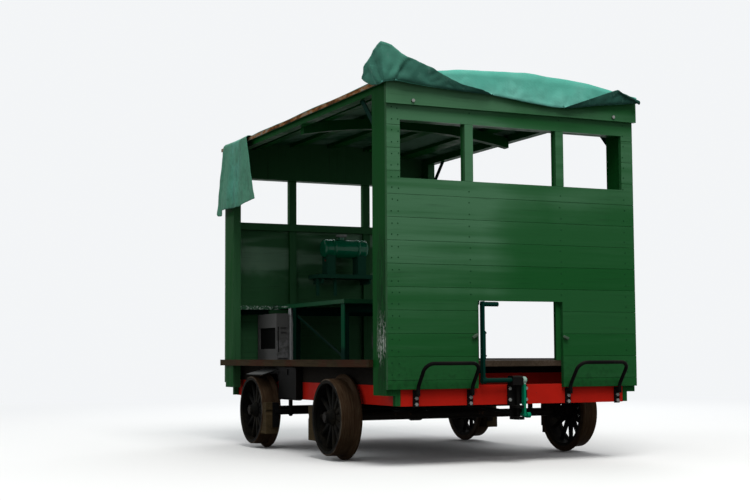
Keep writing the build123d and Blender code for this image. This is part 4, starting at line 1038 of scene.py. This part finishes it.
def seenBy(tree):
    # 1 for rays from the camera and for those that a shiny or clear surface sends on
    path = tree.nodes.new("ShaderNodeLightPath")
    seen = path.outputs["Is Camera Ray"]
    for kind in ("Is Glossy Ray", "Is Transmission Ray"):
        either = tree.nodes.new("ShaderNodeMath")
        either.operation = "MAXIMUM"
        tree.links.new(seen, either.inputs[0])
        tree.links.new(path.outputs[kind], either.inputs[1])
        seen = either.outputs[0]
    return seen


def makeStage():
    mesh = bmesh.new()
    bmesh.ops.create_grid(mesh, x_segments=1, y_segments=1, size=floorLook["size"] / 2)
    data = bpy.data.meshes.new("floor")
    mesh.to_mesh(data)
    mesh.free()
    floor = bpy.data.objects.new("floor", data)
    bpy.context.collection.objects.link(floor)
    paint = Paint("floor", 0.0, floorLook["roughness"])
    seen = Wire(paint, seenBy(paint.tree))
    x, y, z = paint.axes()
    far = paint.ramp((x * x + y * y) ** 0.5, *floorLook["edge"])
    near = paint.mix(far, floorLook["colour"], (0, 0, 0))
    paint.feed("Base Color", paint.mix(seen, floorLook["bounce"], near))
    paint.feed("Emission Color", paint.mix(seen * far, (0, 0, 0), lightLook["sky"]))
    paint.feed("Emission Strength", 1)
    data.materials.append(paint.material)

    world = bpy.data.worlds.new("sky")
    bpy.context.scene.world = world
    world.use_nodes = True
    tree = world.node_tree
    seen = tree.nodes["Background"]
    seen.inputs["Color"].default_value = (*lightLook["sky"], 1)
    lit = tree.nodes.new("ShaderNodeBackground")
    lit.inputs["Color"].default_value = (*lightLook["ambient"], 1)
    lit.inputs["Strength"].default_value = lightLook["world"]
    blend = tree.nodes.new("ShaderNodeMixShader")
    tree.links.new(seenBy(tree), blend.inputs[0])
    tree.links.new(lit.outputs[0], blend.inputs[1])
    tree.links.new(seen.outputs[0], blend.inputs[2])
    tree.links.new(blend.outputs[0], tree.nodes["World Output"].inputs["Surface"])

    for name, place, size, power, colour in lightLook["lamps"]:
        lamp = bpy.data.lights.new(name, "AREA")
        lamp.size = size
        lamp.energy = power
        lamp.color = colour
        holder = bpy.data.objects.new(name, lamp)
        holder.location = place
        aim = Vector(lightLook["aim"]) - Vector(place)
        holder.rotation_euler = aim.to_track_quat("-Z", "Y").to_euler()
        bpy.context.collection.objects.link(holder)
    bpy.context.scene.view_settings.view_transform = "Standard"
    print("stage set")


addCamera()
makeStage()
makeMaterials()
dressNodes()
makeTarpaulin()
makeScrews()
makeBolts()
makePegs()
makeFillers()
makeTankTrim()
print("pieces added")
